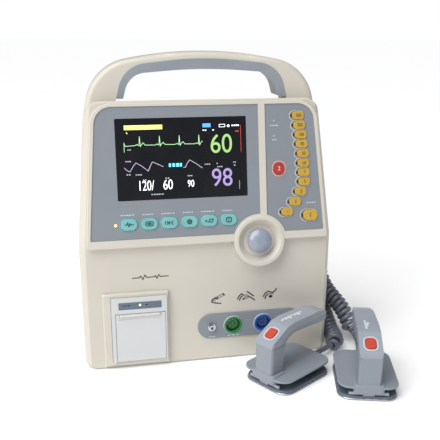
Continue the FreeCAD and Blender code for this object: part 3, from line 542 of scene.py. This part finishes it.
def between(stops, share):
    """A value that changes smoothly between (share, value) stops."""
    for (s0, v0), (s1, v1) in zip(stops, stops[1:]):
        if share <= s1:
            t = (share - s0) / (s1 - s0)
            return v0 + (v1 - v0) * t * t * (3 - 2 * t)
    return stops[-1][1]


def helix_points(line, pitch, coiled):
    """The middle of the wire as it winds round the route's line."""
    lengths = [0.0]
    for a, b in zip(line, line[1:]):
        lengths.append(lengths[-1] + (b - a).length)
    total = lengths[-1]
    side = Vector((0, 1, 0))
    points = []
    turn, last_turn, at = 0.0, 0.0, 0.0
    i = 0
    while at <= total:
        while i < len(line) - 2 and lengths[i + 1] < at:
            i += 1
        along = (line[i + 1] - line[i]).normalized()
        place = line[i] + along * (at - lengths[i])
        side = (side - along * side.dot(along)).normalized()
        share = at / total
        opening, closing = (share - coiled[0]) / EASE_SHARE, (coiled[1] - share) / EASE_SHARE
        ease = min(1.0, max(0.0, opening), max(0.0, closing))
        radius = COIL_R * ease * ease * (3 - 2 * ease)
        if turn - last_turn >= math.tau / POINTS_A_TURN or not points:
            out = side * math.cos(turn) + along.cross(side) * math.sin(turn)
            points.append(place + out * radius)
            last_turn = turn
        turn += math.tau * HELIX_STEP / between(pitch, share)
        at += HELIX_STEP
    points[-1] = line[-1].copy()
    return points


def cord_mesh(name, points):
    """A smooth round tube through the wire's middle, as a mesh, and the line that it follows."""
    holder = nurbs(name, points, 2)
    path = [tuple(point) for point in line_of(holder)]
    holder.data.bevel_depth = WIRE / 2
    holder.data.bevel_resolution = 3
    holder.data.use_fill_caps = True
    mesh = bpy.data.meshes.new_from_object(holder)
    bpy.data.objects.remove(holder)
    mesh.name = name
    mesh.shade_smooth()
    return link(name, mesh), path


def ribbed_relief(name, tip, base, tip_r, base_r):
    """A tapered strain relief with the grooves that let it bend."""
    tip, base = Vector(tip), Vector(base)
    out = (base - tip).normalized()
    across = out.orthogonal().normalized()
    long = (base - tip).length
    matrix = axes_matrix(tip, across, out.cross(across), out)
    profile, rings = [(0, 0.0), (tip_r * 0.75, 0.0)], 5
    for i in range(rings):
        for share, depth in ((0.08, 0.0), (0.55, 0.0), (0.62, 0.0007), (0.92, 0.0007)):
            at = (i + share) / rings
            profile.append((tip_r + (base_r - tip_r) * at - depth, long * at))
    profile += [(base_r, long), (0, long)]
    return turned(name, profile, matrix, "unit", M["cord_slate"], 28)


def make_cords():
    outlet_low, outlet_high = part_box("cord_glands")
    for side, route in (("left", LEFT_ROUTE), ("right", RIGHT_ROUTE)):
        x, y = route[0][0] * MM, route[0][1] * MM
        tip, base = (x, y, outlet_low.z), (x, y, outlet_high.z)
        ribbed_relief(f"outlet_relief_{side}", tip, base, *RELIEF_R)
    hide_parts("cord_glands")
    settings = {
        "left": (LEFT_ROUTE, LEFT_PITCH, LEFT_COILED, LEFT_LENGTH),
        "right": (RIGHT_ROUTE, RIGHT_PITCH, RIGHT_COILED, RIGHT_LENGTH),
    }
    for side, (route, pitch, coiled, length) in settings.items():
        line = route_line(route)
        wire, path = cord_mesh(f"curly_cord_{side}", helix_points(line, pitch, coiled))
        wire.data.materials.append(M["cord_slate"])
        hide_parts(CORD_NODES[side])
        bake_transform(wire)


# --- Panel: keys, rings, legends ---
KEY_TOP = 0.0018 + 0.00004  # where a key's printing starts, above the panel
ICON_LINE = 0.0011
ENERGY_VALUES = ["1", "2", "3", "5", "7", "10", "30", "50", "100", "200", "360"]
SMALL_LEGENDS_X = 0.0833
# How far up the panel each small legend is, its width and how many bars it has.
SMALL_LEGENDS = ((0.1306, 0.011, 4), (0.1132, 0.006, 2), (0.1367, 0.0025, 1), (0.1180, 0.0025, 1))


def label_row(x, s, width, count=5, height=0.0011):
    """A row of short bars where the panel carries a legend."""
    bars, start, step = [], x - width / 2, width / count
    for i in range(count):
        long = step * (0.62 + 0.2 * ((i * 7) % 3) / 2)
        bars.append(rectangle(start + i * step, start + i * step + long, s - height / 2, s + height / 2))
    return bars


def panel_legend(name, shapes):
    """Pale printing on the panel."""
    plates(name, shapes, PANEL, 0, PRINT_T, "unit", INK_PALE, "panel_grey")


def icon_shapes(kind, x, s):
    """Generic line symbols for the function keys, about 8 mm across."""

    def line(*points):
        return stroke([(x + a * MM, s + b * MM) for a, b in points], ICON_LINE)

    if kind == 0:
        return line((-5, 0), (-2.6, 0), (-1.6, 2.4), (-0.2, -2.4), (1.0, 1.6), (1.8, 0), (5, 0))
    if kind == 1:
        return stroke(oval(x, s, 9 * MM, 5 * MM), ICON_LINE, True) + [oval(x, s, 5 * MM, 2.6 * MM)]
    if kind == 2:
        shapes = line((-5, -1.8), (-5, 1.8))
        shapes += line((-2.5, -1.8), (-2.5, 1.8), (0, -1.8), (0, 1.8))
        return shapes + line((3.8, 1.8), (2.4, 0.6), (2.4, -0.6), (3.8, -1.8))
    if kind == 3:
        shapes = stroke(circle(x, s, 2.6 * MM, 16), ICON_LINE, True)
        return shapes + line((-2.6, 0), (2.6, 0)) + line((0, -2.6), (0, 2.6))
    if kind == 4:
        shapes = [circle(x - 3.8 * MM, s - 0.4 * MM, 1.3 * MM, 16)]
        return shapes + line((-1, -1.5), (0.6, 1.6), (4.6, 1.8), (3.6, -1.6), (-1, -1.5))
    return stroke(oval(x, s, 6 * MM, 5.6 * MM, 0.25), ICON_LINE, True) + line((0, -1.4), (0, 1.4))


def function_keys():
    """The symbol on each cyan key, the bars above it and the band round it."""
    for i in range(6):
        node = f"soft_key_{i + 1}"
        x, s = on_panel(middle_of(node))
        icon = icon_shapes(i, x, s)
        plates(f"{node}_icon", icon, PANEL, KEY_TOP, KEY_TOP + PRINT_T, node, INK_TEAL, "key_cyan")
        width = 0.013 if i % 2 else 0.013 + 0.004
        panel_legend(f"{node}_legend", label_row(x - 0.001, s + 0.0113, width))
        outer, inner = oval(x, s, 0.0222, 0.0162), oval(x, s, 0.0208, 0.0148)
        ring_mesh(f"{node}_halo", outer, inner, PANEL, 0, PRINT_T, "unit", M["key_cyan"], "key_cyan")


def energy_keys():
    """The number on each small yellow key, and its ring and lamp."""
    for i, value in enumerate(ENERGY_VALUES):
        node = f"energy_key_{i + 1:02d}"
        x, s = on_panel(middle_of(node))
        digits(
            f"{node}_value", value, x + 0.0004, s, 0.0040, KEY_TOP,
            node, INK_BROWN, 0.85, 0.00012,
        )
        key_ring(node, x, s, 0.0140, 0.0094)


def large_keys():
    """The numbers and rings of the charge key and the shock key, and the charge key's legend."""
    x, s = on_panel(middle_of("charge_key"))
    digits(
        "charge_key_mark", "1", x, s, 0.0055, KEY_TOP,
        "charge_key", INK_BROWN, 0.9, 0.0002,
    )
    key_ring("charge_key", x, s, 0.0175, 0.0136)
    panel_legend("charge_key_legend", label_row(x + 0.002, s + 0.0155, 0.013, 4))
    x, s = on_panel(middle_of("shock_key"))
    digits(
        "shock_key_mark", "2", x, s, 0.0050, KEY_TOP,
        "shock_key", INK_PALE, 0.9, 0.0001,
    )
    outer, inner = oval(x, s, 0.0172, 0.0194), oval(x, s, 0.0145, 0.0163)
    ring_mesh("shock_key_ring", outer, inner, PANEL, 0, 0.0003, "unit", HALO_PINK, "key_red")


def small_legends():
    bars = []
    for s, width, count in SMALL_LEGENDS:
        bars += label_row(SMALL_LEGENDS_X, s, width, count)
    panel_legend("panel_small_legends", bars)


def make_keys():
    function_keys()
    energy_keys()
    large_keys()
    small_legends()


def key_ring(node, x, s, across, up):
    """The pale line round a yellow key and the small dark lamp window at its left end."""
    middle, wide = x - 0.0018, across + 0.0052
    outer, inner = oval(middle, s, wide, up + 0.0022), oval(middle, s, wide - 0.0016, up + 0.0010)
    ring_mesh(f"{node}_ring", outer, inner, PANEL, 0, PRINT_T, "unit", HALO_CREAM, "panel_grey")
    lamp = oval(x - across / 2 - 0.0019, s, 0.0018, up * 0.42)
    plates(f"{node}_lamp", [lamp], PANEL, 0, 0.0002, "unit", INK_DARK, "panel_grey")


# --- The display's picture ---
PICTURE_LIFT = 0.00019  # where the picture starts, above the panel
# One beat of the heart trace: how far from its peak, and how far down the display.
HEART_BEAT = (
    (-0.035, 0.318), (-0.02, 0.305), (-0.012, 0.316), (-0.005, 0.32), (0, 0.205),
    (0.005, 0.335), (0.010, 0.315), (0.028, 0.285), (0.042, 0.315),
)
HEART_PEAKS = (0.17, 0.325, 0.48, 0.635)
TRACE_END = 0.672
PULSE_TRACES = (
    [
        (0.045, 0.600), (0.060, 0.630), (0.088, 0.655), (0.110, 0.590), (0.135, 0.540), (0.180, 0.585),
        (0.228, 0.650), (0.245, 0.590), (0.262, 0.535), (0.310, 0.570), (0.345, 0.600),
    ],
    [(0.505, 0.620), (0.520, 0.620), (0.538, 0.560), (0.556, 0.525), (0.600, 0.570), (0.655, 0.635)],
)
# Rows of bars for small text: from where to where across, how far down, and how many bars.
WHITE_BARS = ((0.667, 0.70, 0.145, 2), (0.745, 0.765, 0.145, 1))
GREY_BARS = (
    (0.075, 0.105, 0.372, 2), (0.055, 0.10, 0.52, 3), (0.06, 0.095, 0.69, 2), (0.13, 0.18, 0.695, 3),
    (0.185, 0.215, 0.765, 2), (0.36, 0.395, 0.752, 2), (0.535, 0.575, 0.732, 3), (0.245, 0.345, 0.957, 5),
    (0.675, 0.72, 0.59, 3), (0.77, 0.785, 0.585, 1), (0.775, 0.82, 0.628, 3), (0.905, 0.93, 0.575, 2),
    (0.91, 0.93, 0.615, 1),
)
# Each number's name, text, middle, height, colour and width.
PICTURE_NUMBERS = (
    ("rate", "60", 0.812, 0.338, 0.0225, "green", 0.88),
    ("oxygen", "98", 0.812, 0.782, 0.0215, "lilac", 0.88),
    ("systolic", "120/", 0.205, 0.845, 0.0118, "white", 0.66),
    ("diastolic", "60", 0.378, 0.842, 0.0118, "white", 0.72),
    ("mean", "90", 0.560, 0.838, 0.0082, "white", 0.72),
)


def picture(u, v):
    """A place on the display, as shares of its width and height from the top left."""
    x0 = (window_low.x + window_high.x) / 2 - PICTURE_W / 2
    s0 = on_panel((window_low + window_high) / 2)[1] + PICTURE_H / 2
    return x0 + u * PICTURE_W, s0 - v * PICTURE_H


def picture_box(u0, u1, v0, v1):
    (x0, y0), (x1, y1) = picture(u0, v1), picture(u1, v0)
    return rectangle(x0, x1, y0, y1)


def heart_trace():
    """Four beats on a level line, with a calibration step at the left."""
    points = [(0.050, 0.285), (0.054, 0.305), (0.060, 0.325)]
    for peak in HEART_PEAKS:
        points += [(peak + u, v) for u, v in HEART_BEAT]
    return [point for point in points if point[0] <= TRACE_END]


def drawn(name, shapes, glow):
    """One lit layer of the picture."""
    low, high = PICTURE_LIFT, PICTURE_LIFT + PRINT_T
    plates(f"picture_{name}", shapes, PANEL, low, high, "unit", GLOW[glow], "screen_black")


def picture_line(points, width, closed=False):
    return stroke([picture(u, v) for u, v in points], width, closed)


def picture_bars(u0, u1, v, count=3, high=0.0013):
    return label_row(*picture((u0 + u1) / 2, v), (u1 - u0) * PICTURE_W, count, high)


def picture_traces():
    bar = [picture_box(0.055, 0.35, 0.060, 0.118)]
    drawn("yellow_bar", bar + picture_line([(0.072, 0.15), (0.078, 0.165)], 0.0009), "yellow")
    drawn("blue_label", [picture_box(0.667, 0.731, 0.058, 0.108)], "blue")
    scale = picture_line([(0.05, 0.28), (0.05, 0.40)], 0.00055)
    drawn("heart_trace", picture_line(heart_trace(), 0.00062) + scale, "trace")
    first, second = PULSE_TRACES
    drawn("pulse_trace", picture_line(first, 0.00055) + picture_line(second, 0.00055), "pleth")
    drawn("cyan_blocks", picture_bars(0.39, 0.505, 0.585, 4, 0.0042), "cyan")


def picture_marks():
    """The white box with its dot, and rows of bars for small text."""
    box = [(0.80, 0.075), (0.845, 0.075), (0.845, 0.108), (0.80, 0.108)]
    white = picture_line(box, 0.0006, True) + [circle(*picture(0.873, 0.096), 0.0016, 14)]
    white += picture_bars(0.90, 0.965, 0.092, 4, 0.0018)
    for row in WHITE_BARS:
        white += picture_bars(*row)
    drawn("white_marks", white, "white")
    grey = []
    for row in GREY_BARS:
        grey += picture_bars(*row)
    drawn("grey_marks", grey + picture_line([(0.952, 0.82), (0.952, 0.93)], 0.0005), "grey")
    red = picture_line([(0.972, 0.09), (0.972, 0.44)], 0.0004)
    drawn("red_marks", red + picture_bars(0.93, 0.958, 0.168, 2, 0.0017), "red")


def make_picture():
    picture_traces()
    picture_marks()
    lift = PICTURE_LIFT + PRINT_T / 2
    for name, text, u, v, height, glow, squeeze in PICTURE_NUMBERS:
        x, s = picture(u, v)
        digits(
            f"picture_{name}", text, x, s, height, lift,
            "unit", GLOW[glow], squeeze, 0.00004,
        )


# --- The lower front ---
SOCKET_DEPTH = 0.0050
LOWEST_PANEL_LAMP = 0.15
SYMBOL_Z = 0.0842
PULSE_MARK_Z = 0.1197
# The pulse line: how far across the front in metres, and how far above its middle in millimetres.
PULSE_MARK = (
    (-0.0966, 0), (-0.0880, 0), (-0.0862, 2.2), (-0.0836, -2.6), (-0.0812, 3.2), (-0.0790, 0), (-0.0700, 0),
    (-0.0682, 1.6), (-0.0664, -2.2), (-0.0642, 2.6), (-0.0624, 0), (-0.0524, 0),
)
COLLAR = [
    (0.0117, -0.0016), (0.0126, -0.0016), (0.0126, -0.0009), (0.0123, -0.0004), (0.0119, -0.0004),
    (0.0117, -0.0016),
]
SLOT_X = (-0.1158, -0.0615)  # the ends of the tear bar in the paper slot
# Each symbol's middle, and its thick lines, thin lines and filled shapes in millimetres about it: an arm with
# a cuff, two hands that hold a lead, and a hand with a finger clip.
FRONT_SYMBOLS = {
    "cuff": (
        0.0102,
        [
            [(-8.4, -3.4), (-6.8, -0.4), (-4.6, 0.6), (-1.4, 0.4)], [(6.4, 6.6), (8.2, 4.6)],
            [(-8.0, -4.2), (-2.6, -5.8), (3.8, -6.6)],
        ],
        [
            [(-4.4, 1.4), (0.6, 3.6), (6.4, 6.6)], [(-1.2, -0.8), (3.2, 2.0), (8.2, 4.6)],
            [(-6.6, -1.6), (-3.2, -2.6)],
        ],
        [[(-2.2, 1.0), (-0.4, 2.4), (0.6, 1.6), (-1.2, 0.0)]],
    ),
    "leads": (
        0.0467,
        [
            [(-11, -2.6), (-9.2, 1.4), (-6.0, 4.4), (-3.4, 2.6)], [(1.2, 7.0), (5.2, 3.8), (9.8, 0.2)],
            [(2.0, 1.2), (7.2, -2.2), (11.4, -5.6)], [(-8.6, -4.4), (-7.4, -1.0), (-5.4, 0.8)],
        ],
        [
            [(-3.4, 2.6), (-1.2, 0.4), (1.0, 3.4)], [(-4.4, -4.2), (-1.6, -1.2), (3.4, 0.4)],
            [(-1.0, -3.4), (3.4, -1.6)],
        ],
        [
            [(-4.8, -3.2), (-3.0, -1.2), (-1.6, -2.4), (-3.2, -4.4)],
            [(-5.8, 1.2), (-4.8, 2.4), (-3.8, 1.4), (-4.8, 0.4)],
        ],
    ),
    "clip": (
        0.0800,
        [
            [(-10.6, -1.6), (-8.2, 2.6), (-4.4, 5.0), (-0.4, 3.8)], [(-8.2, -4.6), (-7.4, -1.2), (-4.8, 1.2)],
            [(1.4, 3.0), (4.2, 4.6), (6.8, 8.0)],
        ],
        [[(-4.8, 1.2), (-0.8, 2.2), (1.6, 0.2)], [(-0.4, 3.8), (2.8, 1.4)]],
        [[(-3.6, -0.6), (0.8, -0.4), (1.6, -3.0), (-0.6, -4.4), (-3.2, -3.0)]],
    ),
}


def front_symbols():
    """A pulse line above the printer and three plain line symbols above the sockets."""
    front = front_at(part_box("connector_plate")[1].y)
    print_on = (front, 0, PRINT_T, "unit", INK_DARK, "case_cream")
    mark = stroke([(x, PULSE_MARK_Z + z * MM) for x, z in PULSE_MARK], 0.0011)
    plates("front_pulse_mark", mark, *print_on)
    for name, (x, thick, thin, filled) in FRONT_SYMBOLS.items():
        shapes = []
        for lines, width in ((thick, 0.0015), (thin, 0.0008)):
            for points in lines:
                shapes += stroke([(x + a * MM, SYMBOL_Z + b * MM) for a, b in points], width)
        shapes += [[(x + a * MM, SYMBOL_Z + b * MM) for a, b in points] for points in filled]
        plates(f"front_symbol_{name}", shapes, *print_on)


def socket_details(node):
    """The pale collar, the keyed groove and the holes, shown by dark plates as painted shade, and the contacts of
    a round socket.
    """
    low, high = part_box(node)
    face = front_at(low.y, (low.x + high.x) / 2, (low.z + high.z) / 2)
    dark, pale = ("unit", INK_DARK, "inlet_black"), ("unit", PIN_METAL, "port_chrome")
    turned(f"{node}_collar", COLLAR, face, "unit", HALO_GREY, 48)
    floor = -SOCKET_DEPTH
    # The groove and the holes are dark plates on the socket's floor: painted shade.
    outer, inner = circle(0, 0, 0.00915, 48), circle(0, 0, 0.0072, 48)
    ring_mesh(f"{node}_groove", outer, inner, face, floor, floor + 0.0004, *dark)
    inner_ring, outer_ring = circle(0, 0, 0.0028, 5), circle(0, 0, 0.0052, 8)
    holes = [circle(x, y, 0.0009, 12) for x, y in inner_ring]
    plates(f"{node}_inner_holes", holes, face, floor, floor + 0.00015, *dark)
    pins = [circle(x, y, 0.0004, 8) for x, y in inner_ring]
    plates(f"{node}_inner_contacts", pins, face, floor, floor + 0.0003, *pale)
    pins = [circle(x, y, 0.0005, 10) for x, y in [(0.0, 0.0), *outer_ring]]
    plates(f"{node}_contacts", pins, face, floor - 0.0035, floor - 0.0006, *pale)


def connector_legends():
    """Short bars under the air port and the green socket."""
    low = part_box("connector_plate")[0]
    rows = []
    for node, width in (("air_port", 0.009), ("ecg_socket", 0.016)):
        rows += label_row(middle_of(node).x + 0.001, low.z + 0.0025, width, 3)
    plates("connector_legends", rows, front_at(low.y), 0, PRINT_T, "unit", INK_PALE, "panel_grey")


def halfway(values):
    return (min(values) + max(values)) / 2


def strip_lamps():
    """Where the two lamps on the printer's strip are, from left to right."""
    points = [v.co for v in frame["nodes"]["status_leds"].data.vertices if v.co.z < LOWEST_PANEL_LAMP]
    middle = halfway([co.x for co in points])
    left, right = [co for co in points if co.x < middle], [co for co in points if co.x >= middle]
    return [(halfway([co.x for co in group]), halfway([co.z for co in group])) for group in (left, right)]


def printer_strip(face):
    """The dark strip with its legend and its two lamps, the left one lit."""
    strip = oval(-0.0885, 0.08625, 0.0526, 0.0092, 0.08)
    plates("printer_strip", [strip], face, -0.00048, -0.00005, "unit", STRIP_SLATE, "printer_white")
    bars = label_row(-0.105, 0.0868, 0.010, 3)
    plates("printer_strip_legends", bars, face, 0, PRINT_T, "unit", INK_DARK, "printer_white")
    for i, ((x, z), lens) in enumerate(zip(strip_lamps(), (GLOW["white"], INK_DARK))):
        plates(f"printer_lamp_{i}", [circle(x, z, 0.0013, 20)], face, 0.0004, 0.0007, "unit", lens, "lamp")


def tear_bar(face):
    """The paper slot with a dark plate behind it as its painted shadow, and its serrated bar."""
    shadow = rectangle(-0.1186, -0.0576, 0.0753, 0.0765)
    plates("printer_slot_shadow", [shadow], face, -0.0032, -0.0006, "unit", INK_DARK, "inlet_black")
    x0, x1 = SLOT_X
    count = 44
    outline = []
    for i in range(count):
        a, b = (x0 + (x1 - x0) * k / count for k in (i, i + 1))
        outline += [(a, 0.0757), ((a + b) / 2, 0.0751)]
    outline += [(x1, 0.0757), (x1, 0.0764), (x0, 0.0764)]
    plates("printer_tear_bar", [outline], face, -0.0030, 0.0002, "unit", SCREW_STEEL, "spindle_steel")


def paper_end(door_y):
    """The paper's end, which hangs a little out of the slot."""
    sheet = bpy.data.meshes.new("printer_paper_end")
    shape = bmesh.new()
    x0, x1 = SLOT_X
    across = [x0 + 0.002 + (x1 - x0 - 0.004) * k / 24 for k in range(25)]
    rows = []
    for i in range(9):
        t = i / 8
        z = 0.0752 - 0.0034 * t
        y = door_y + 0.0004 - 0.0009 * math.sin(t * math.pi * 0.6)
        rows.append([shape.verts.new((x, y - 0.0001 * math.sin(x * 900), z)) for x in across])
    for a, b in zip(rows, rows[1:]):
        for k in range(24):
            shape.faces.new((a[k], a[k + 1], b[k + 1], b[k]))
    shape.to_mesh(sheet)
    shape.free()
    sheet.shade_smooth()
    piece = finish_piece(link("printer_paper_end", sheet), "printer_door", M["paper_white"])
    solid = piece.modifiers.new("thickness", "SOLIDIFY")
    solid.thickness = 0.0001


def printer_details():
    face = front_at(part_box("printer_body")[0].y)
    printer_strip(face)
    tear_bar(face)
    paper_end(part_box("printer_door")[0].y)


# --- The case ---
REAR_SCREWS = ((-0.142, 0.018), (0.142, 0.018), (-0.142, 0.150), (0.142, 0.150), (0.0, 0.018), (0.0, 0.150))
EARTH_STUD = [(0, 0), (0.0055, 0), (0.0055, 0.001), (0.0028, 0.001), (0.0028, 0.0017), (0, 0.0017)]


def seam_edges():
    """The ends of each edge of the case's outline where the two mouldings meet."""
    shape = bmesh.new()
    shape.from_mesh(frame["nodes"]["front_shell"].data)
    bmesh.ops.remove_doubles(shape, verts=shape.verts, dist=0.00001)
    on_seam = [e for e in shape.edges if all(abs(v.co.y) < 0.00002 for v in e.verts)]
    rim = [e for e in on_seam if len({round(f.normal.y, 2) for f in e.link_faces}) > 1]
    pairs = [(e.verts[0].co.copy(), e.verts[1].co.copy()) for e in rim]
    shape.free()
    return pairs


def seam_line():
    """The dark line where the two mouldings meet, along the case's outline."""
    band = bmesh.new()
    for a, b in seam_edges():
        out = Vector((b.z - a.z, 0, a.x - b.x)).normalized() * 0.00018
        if out.dot(Vector((a.x, 0, a.z - 0.17))) < 0:
            out = -out
        ends = [a - out, a + out * 0.3, b + out * 0.3, b - out]
        near, far = ([band.verts.new(p + Vector((0, y, 0))) for p in ends] for y in (-0.00022, 0.00022))
        band.faces.new(near)
        band.faces.new(far[::-1])
        for i in range(4):
            k = (i + 1) % 4
            band.faces.new((near[i], near[k], far[k], far[i]))
    made("case_seam", band, "unit", SEAM_DARK)


def screw(name, at, out, radius=0.0032):
    """A cross-head screw that stands a little out of the surface."""
    out = Vector(out).normalized()
    across = out.orthogonal().normalized()
    matrix = axes_matrix(Vector(at), across, out.cross(across), out)
    head = [
        (0, 0.00025), (radius * 0.35, 0.00025), (radius * 0.45, 0.0006), (radius * 0.8, 0.0005),
        (radius, 0.0002), (radius, 0), (0, 0),
    ]
    turned(name, head, matrix, "unit", SCREW_STEEL, 24)
    # The dark cross is painted shade that stands in for the recess of the cross head.
    arm, width = radius * 0.5, radius * 0.22
    cross = stroke([(-arm, 0), (arm, 0)], width) + stroke([(0, -arm), (0, arm)], width)
    plates(f"{name}_slot", cross, matrix, 0.0004, 0.00066, "unit", INK_DARK, "spindle_steel")


def rear_details():
    """Screws, a blank rating plate, the battery door's outline and an earth stud on the back."""
    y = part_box("rear_shell")[1].y
    back = rear_at(y)
    for i, (x, z) in enumerate(REAR_SCREWS):
        screw(f"rear_screw_{i}", (x, y, z), (0, 1, 0))
    rating = oval(-0.065, 0.035, 0.06, 0.032, 0.1)
    plates("rear_rating_plate", [rating], back, 0, 0.0003, "unit", M["latch_pale"], "latch_pale")
    outer = oval(0.098, 0.135, 0.088, 0.022, 0.12)
    inner = oval(0.098, 0.135, 0.0872, 0.0212, 0.12)
    ring_mesh("rear_battery_door_line", outer, inner, back, 0, PRINT_T, "unit", SEAM_DARK, "case_cream")
    stud = rear_at(y, -0.072, 0.030)
    turned("rear_earth_stud", EARTH_STUD, stud, "unit", M["port_chrome"])


# --- The paddles ---


def paddle_axes(side):
    """The paddle's own axes: forward to the post, across, and up, from its middle on the floor."""
    forward = Vector(JOINTS[f"paddle_{side}_shoe_slide"]["axis"]).normalized()
    across = Vector((-forward.y, forward.x, 0))
    middle = Vector((*middle_of(f"paddle_{side}_electrode").xy, 0))
    return axes_matrix(middle, forward, across, Vector((0, 0, 1)))


def surface_above(node, axes):
    """A function that gives the height of a node's top over a point of the paddle's own axes."""
    mesh = frame["nodes"][node].data
    tree = BVHTree.FromPolygons([v.co for v in mesh.vertices], [p.vertices for p in mesh.polygons])

    def height(a, b):
        hit = tree.ray_cast(axes @ Vector((a, b, 0.2)), Vector((0, 0, -1)))
        return hit[0].z

    return height


def draped(name, shapes, axes, height, body, material):
    """Thin printed shapes that lie on a curved top, in the paddle's own axes."""
    shape = bmesh.new()
    for points in shapes:
        low = [shape.verts.new(axes @ Vector((a, b, height(a, b) - PRINT_T))) for a, b in points]
        high = [shape.verts.new(axes @ Vector((a, b, height(a, b) + PRINT_T))) for a, b in points]
        shape.faces.new(high)
        shape.faces.new(low[::-1])
        for i in range(len(points)):
            k = (i + 1) % len(points)
            shape.faces.new((low[i], low[k], high[k], high[i]))
    return made(name, shape, body, material)


def button_ring(side, across):
    """The pale ring round the discharge button, on the sloping face that it stands out of."""
    node = f"paddle_{side}_button"
    out = -Vector(JOINTS[f"{node}_press"]["axis"]).normalized()
    mesh = frame["nodes"][node].data
    top = max(vertex.co.dot(out) for vertex in mesh.vertices)
    centre = middle_of(node)
    face = centre + out * (top - BUTTON_PROUD - centre.dot(out))
    matrix = axes_matrix(face, across.cross(out), across, out)
    length, width = BUTTON_SIZE
    outer = oval(0, 0, length + 0.0052, width + 0.0052, 0.40)
    inner = oval(0, 0, length + 0.0012, width + 0.0012, 0.34)
    body = f"paddle_{side}"
    ring_mesh(f"{node}_ring", outer, inner, matrix, -0.0002, 0.00022, body, HALO_GREY, "paddle_light")


def electrode_edge_highlight(side, axes):
    """A pale band on the contact plate's edge: a painted highlight."""
    length, width = ELECTRODE_SIZE
    share = ELECTRODE_R / width
    outer = oval(0, 0, length + 0.0004, width + 0.0004, share)
    inner = oval(0, 0, length - 0.0012, width - 0.0012, share)
    node = f"paddle_{side}_electrode"
    low, high = 0.0003, ELECTRODE_T - 0.0004
    ring_mesh(f"{node}_rim", outer, inner, axes, low, high, body_of(node), RIM_PAINTED_HIGHLIGHT, "electrode_steel")


def paddle_details(side):
    """The button's ring, the painted highlight on the contact plate's edge and the marks on the grip."""
    body = f"paddle_{side}"
    axes = paddle_axes(side)
    across = axes.to_3x3() @ Vector((0, 1, 0))
    button_ring(side, across)
    electrode_edge_highlight(side, axes)
    marks = []
    for i in range(GRIP_MARKS[side]):
        a = 0.010 - 0.0054 * i
        marks.append(rectangle(a - 0.0021, a + 0.0021, -0.0040, -0.0014 + 0.0018 * (i % 3)))
    height = surface_above(f"paddle_{side}_cover", axes)
    draped(f"{body}_grip_marks", marks, axes, height, body, INK_PALE)


# --- Light and floor ---


def make_floor():
    mesh = bpy.data.meshes.new("floor")
    shape = bmesh.new()
    bmesh.ops.create_circle(shape, cap_ends=True, segments=96, radius=FLOOR_RADIUS)
    shape.to_mesh(mesh)
    shape.free()
    floor = link("floor", mesh)
    material, tree, shader = nodes_of("floor_white")
    tint(tree, shader, noise(tree, 4.0), ((0.93, 0.93, 0.93), (0.95, 0.95, 0.95)), 0.2, 0.8)
    shader.inputs["Roughness"].default_value = 0.9
    shader.inputs["Emission Color"].default_value = (1, 1, 1, 1)
    shader.inputs["Emission Strength"].default_value = 0.08
    floor.data.materials.append(material)


def make_studio():
    """White surroundings that light the object faintly."""
    world = bpy.data.worlds.new("studio")
    bpy.context.scene.world = world
    world.use_nodes = True
    tree = world.node_tree
    seen, light = tree.nodes["Background"], tree.nodes.new("ShaderNodeBackground")
    seen.inputs["Color"].default_value = (1, 1, 1, 1)
    light.inputs["Color"].default_value = (0.97, 0.985, 1.0, 1)
    light.inputs["Strength"].default_value = SKY_LIGHT
    rays, mix = tree.nodes.new("ShaderNodeLightPath"), tree.nodes.new("ShaderNodeMixShader")
    tree.links.new(rays.outputs["Is Camera Ray"], mix.inputs["Fac"])
    tree.links.new(light.outputs["Background"], mix.inputs[1])
    tree.links.new(seen.outputs["Background"], mix.inputs[2])
    tree.links.new(mix.outputs["Shader"], tree.nodes["World Output"].inputs["Surface"])


def add_light(name, kind, at, energy, **settings):
    """A light that points at the middle of the object."""
    data = bpy.data.lights.new(name, kind)
    data.energy = energy
    for setting, value in settings.items():
        setattr(data, setting, value)
    lamp = link(name, data)
    lamp.location = at
    lamp.rotation_euler = (LIT_POINT - Vector(at)).to_track_quat("-Z", "Y").to_euler()


def make_stage():
    make_floor()
    make_studio()
    add_light("overhead", "SUN", (-0.75, -0.55, 1.9), 2.6, angle=math.radians(50))
    add_light("key", "AREA", (-1.3, -1.0, 0.95), 10.0, size=0.7)
    bpy.context.scene.view_settings.view_transform = "Standard"


make_camera()
make_cords()
dress_cad_nodes()
make_keys()
make_picture()
front_symbols()
socket_details("ecg_socket")
socket_details("oximeter_socket")
connector_legends()
printer_details()
seam_line()
rear_details()
for paddle in ("left", "right"):
    paddle_details(paddle)
make_stage()
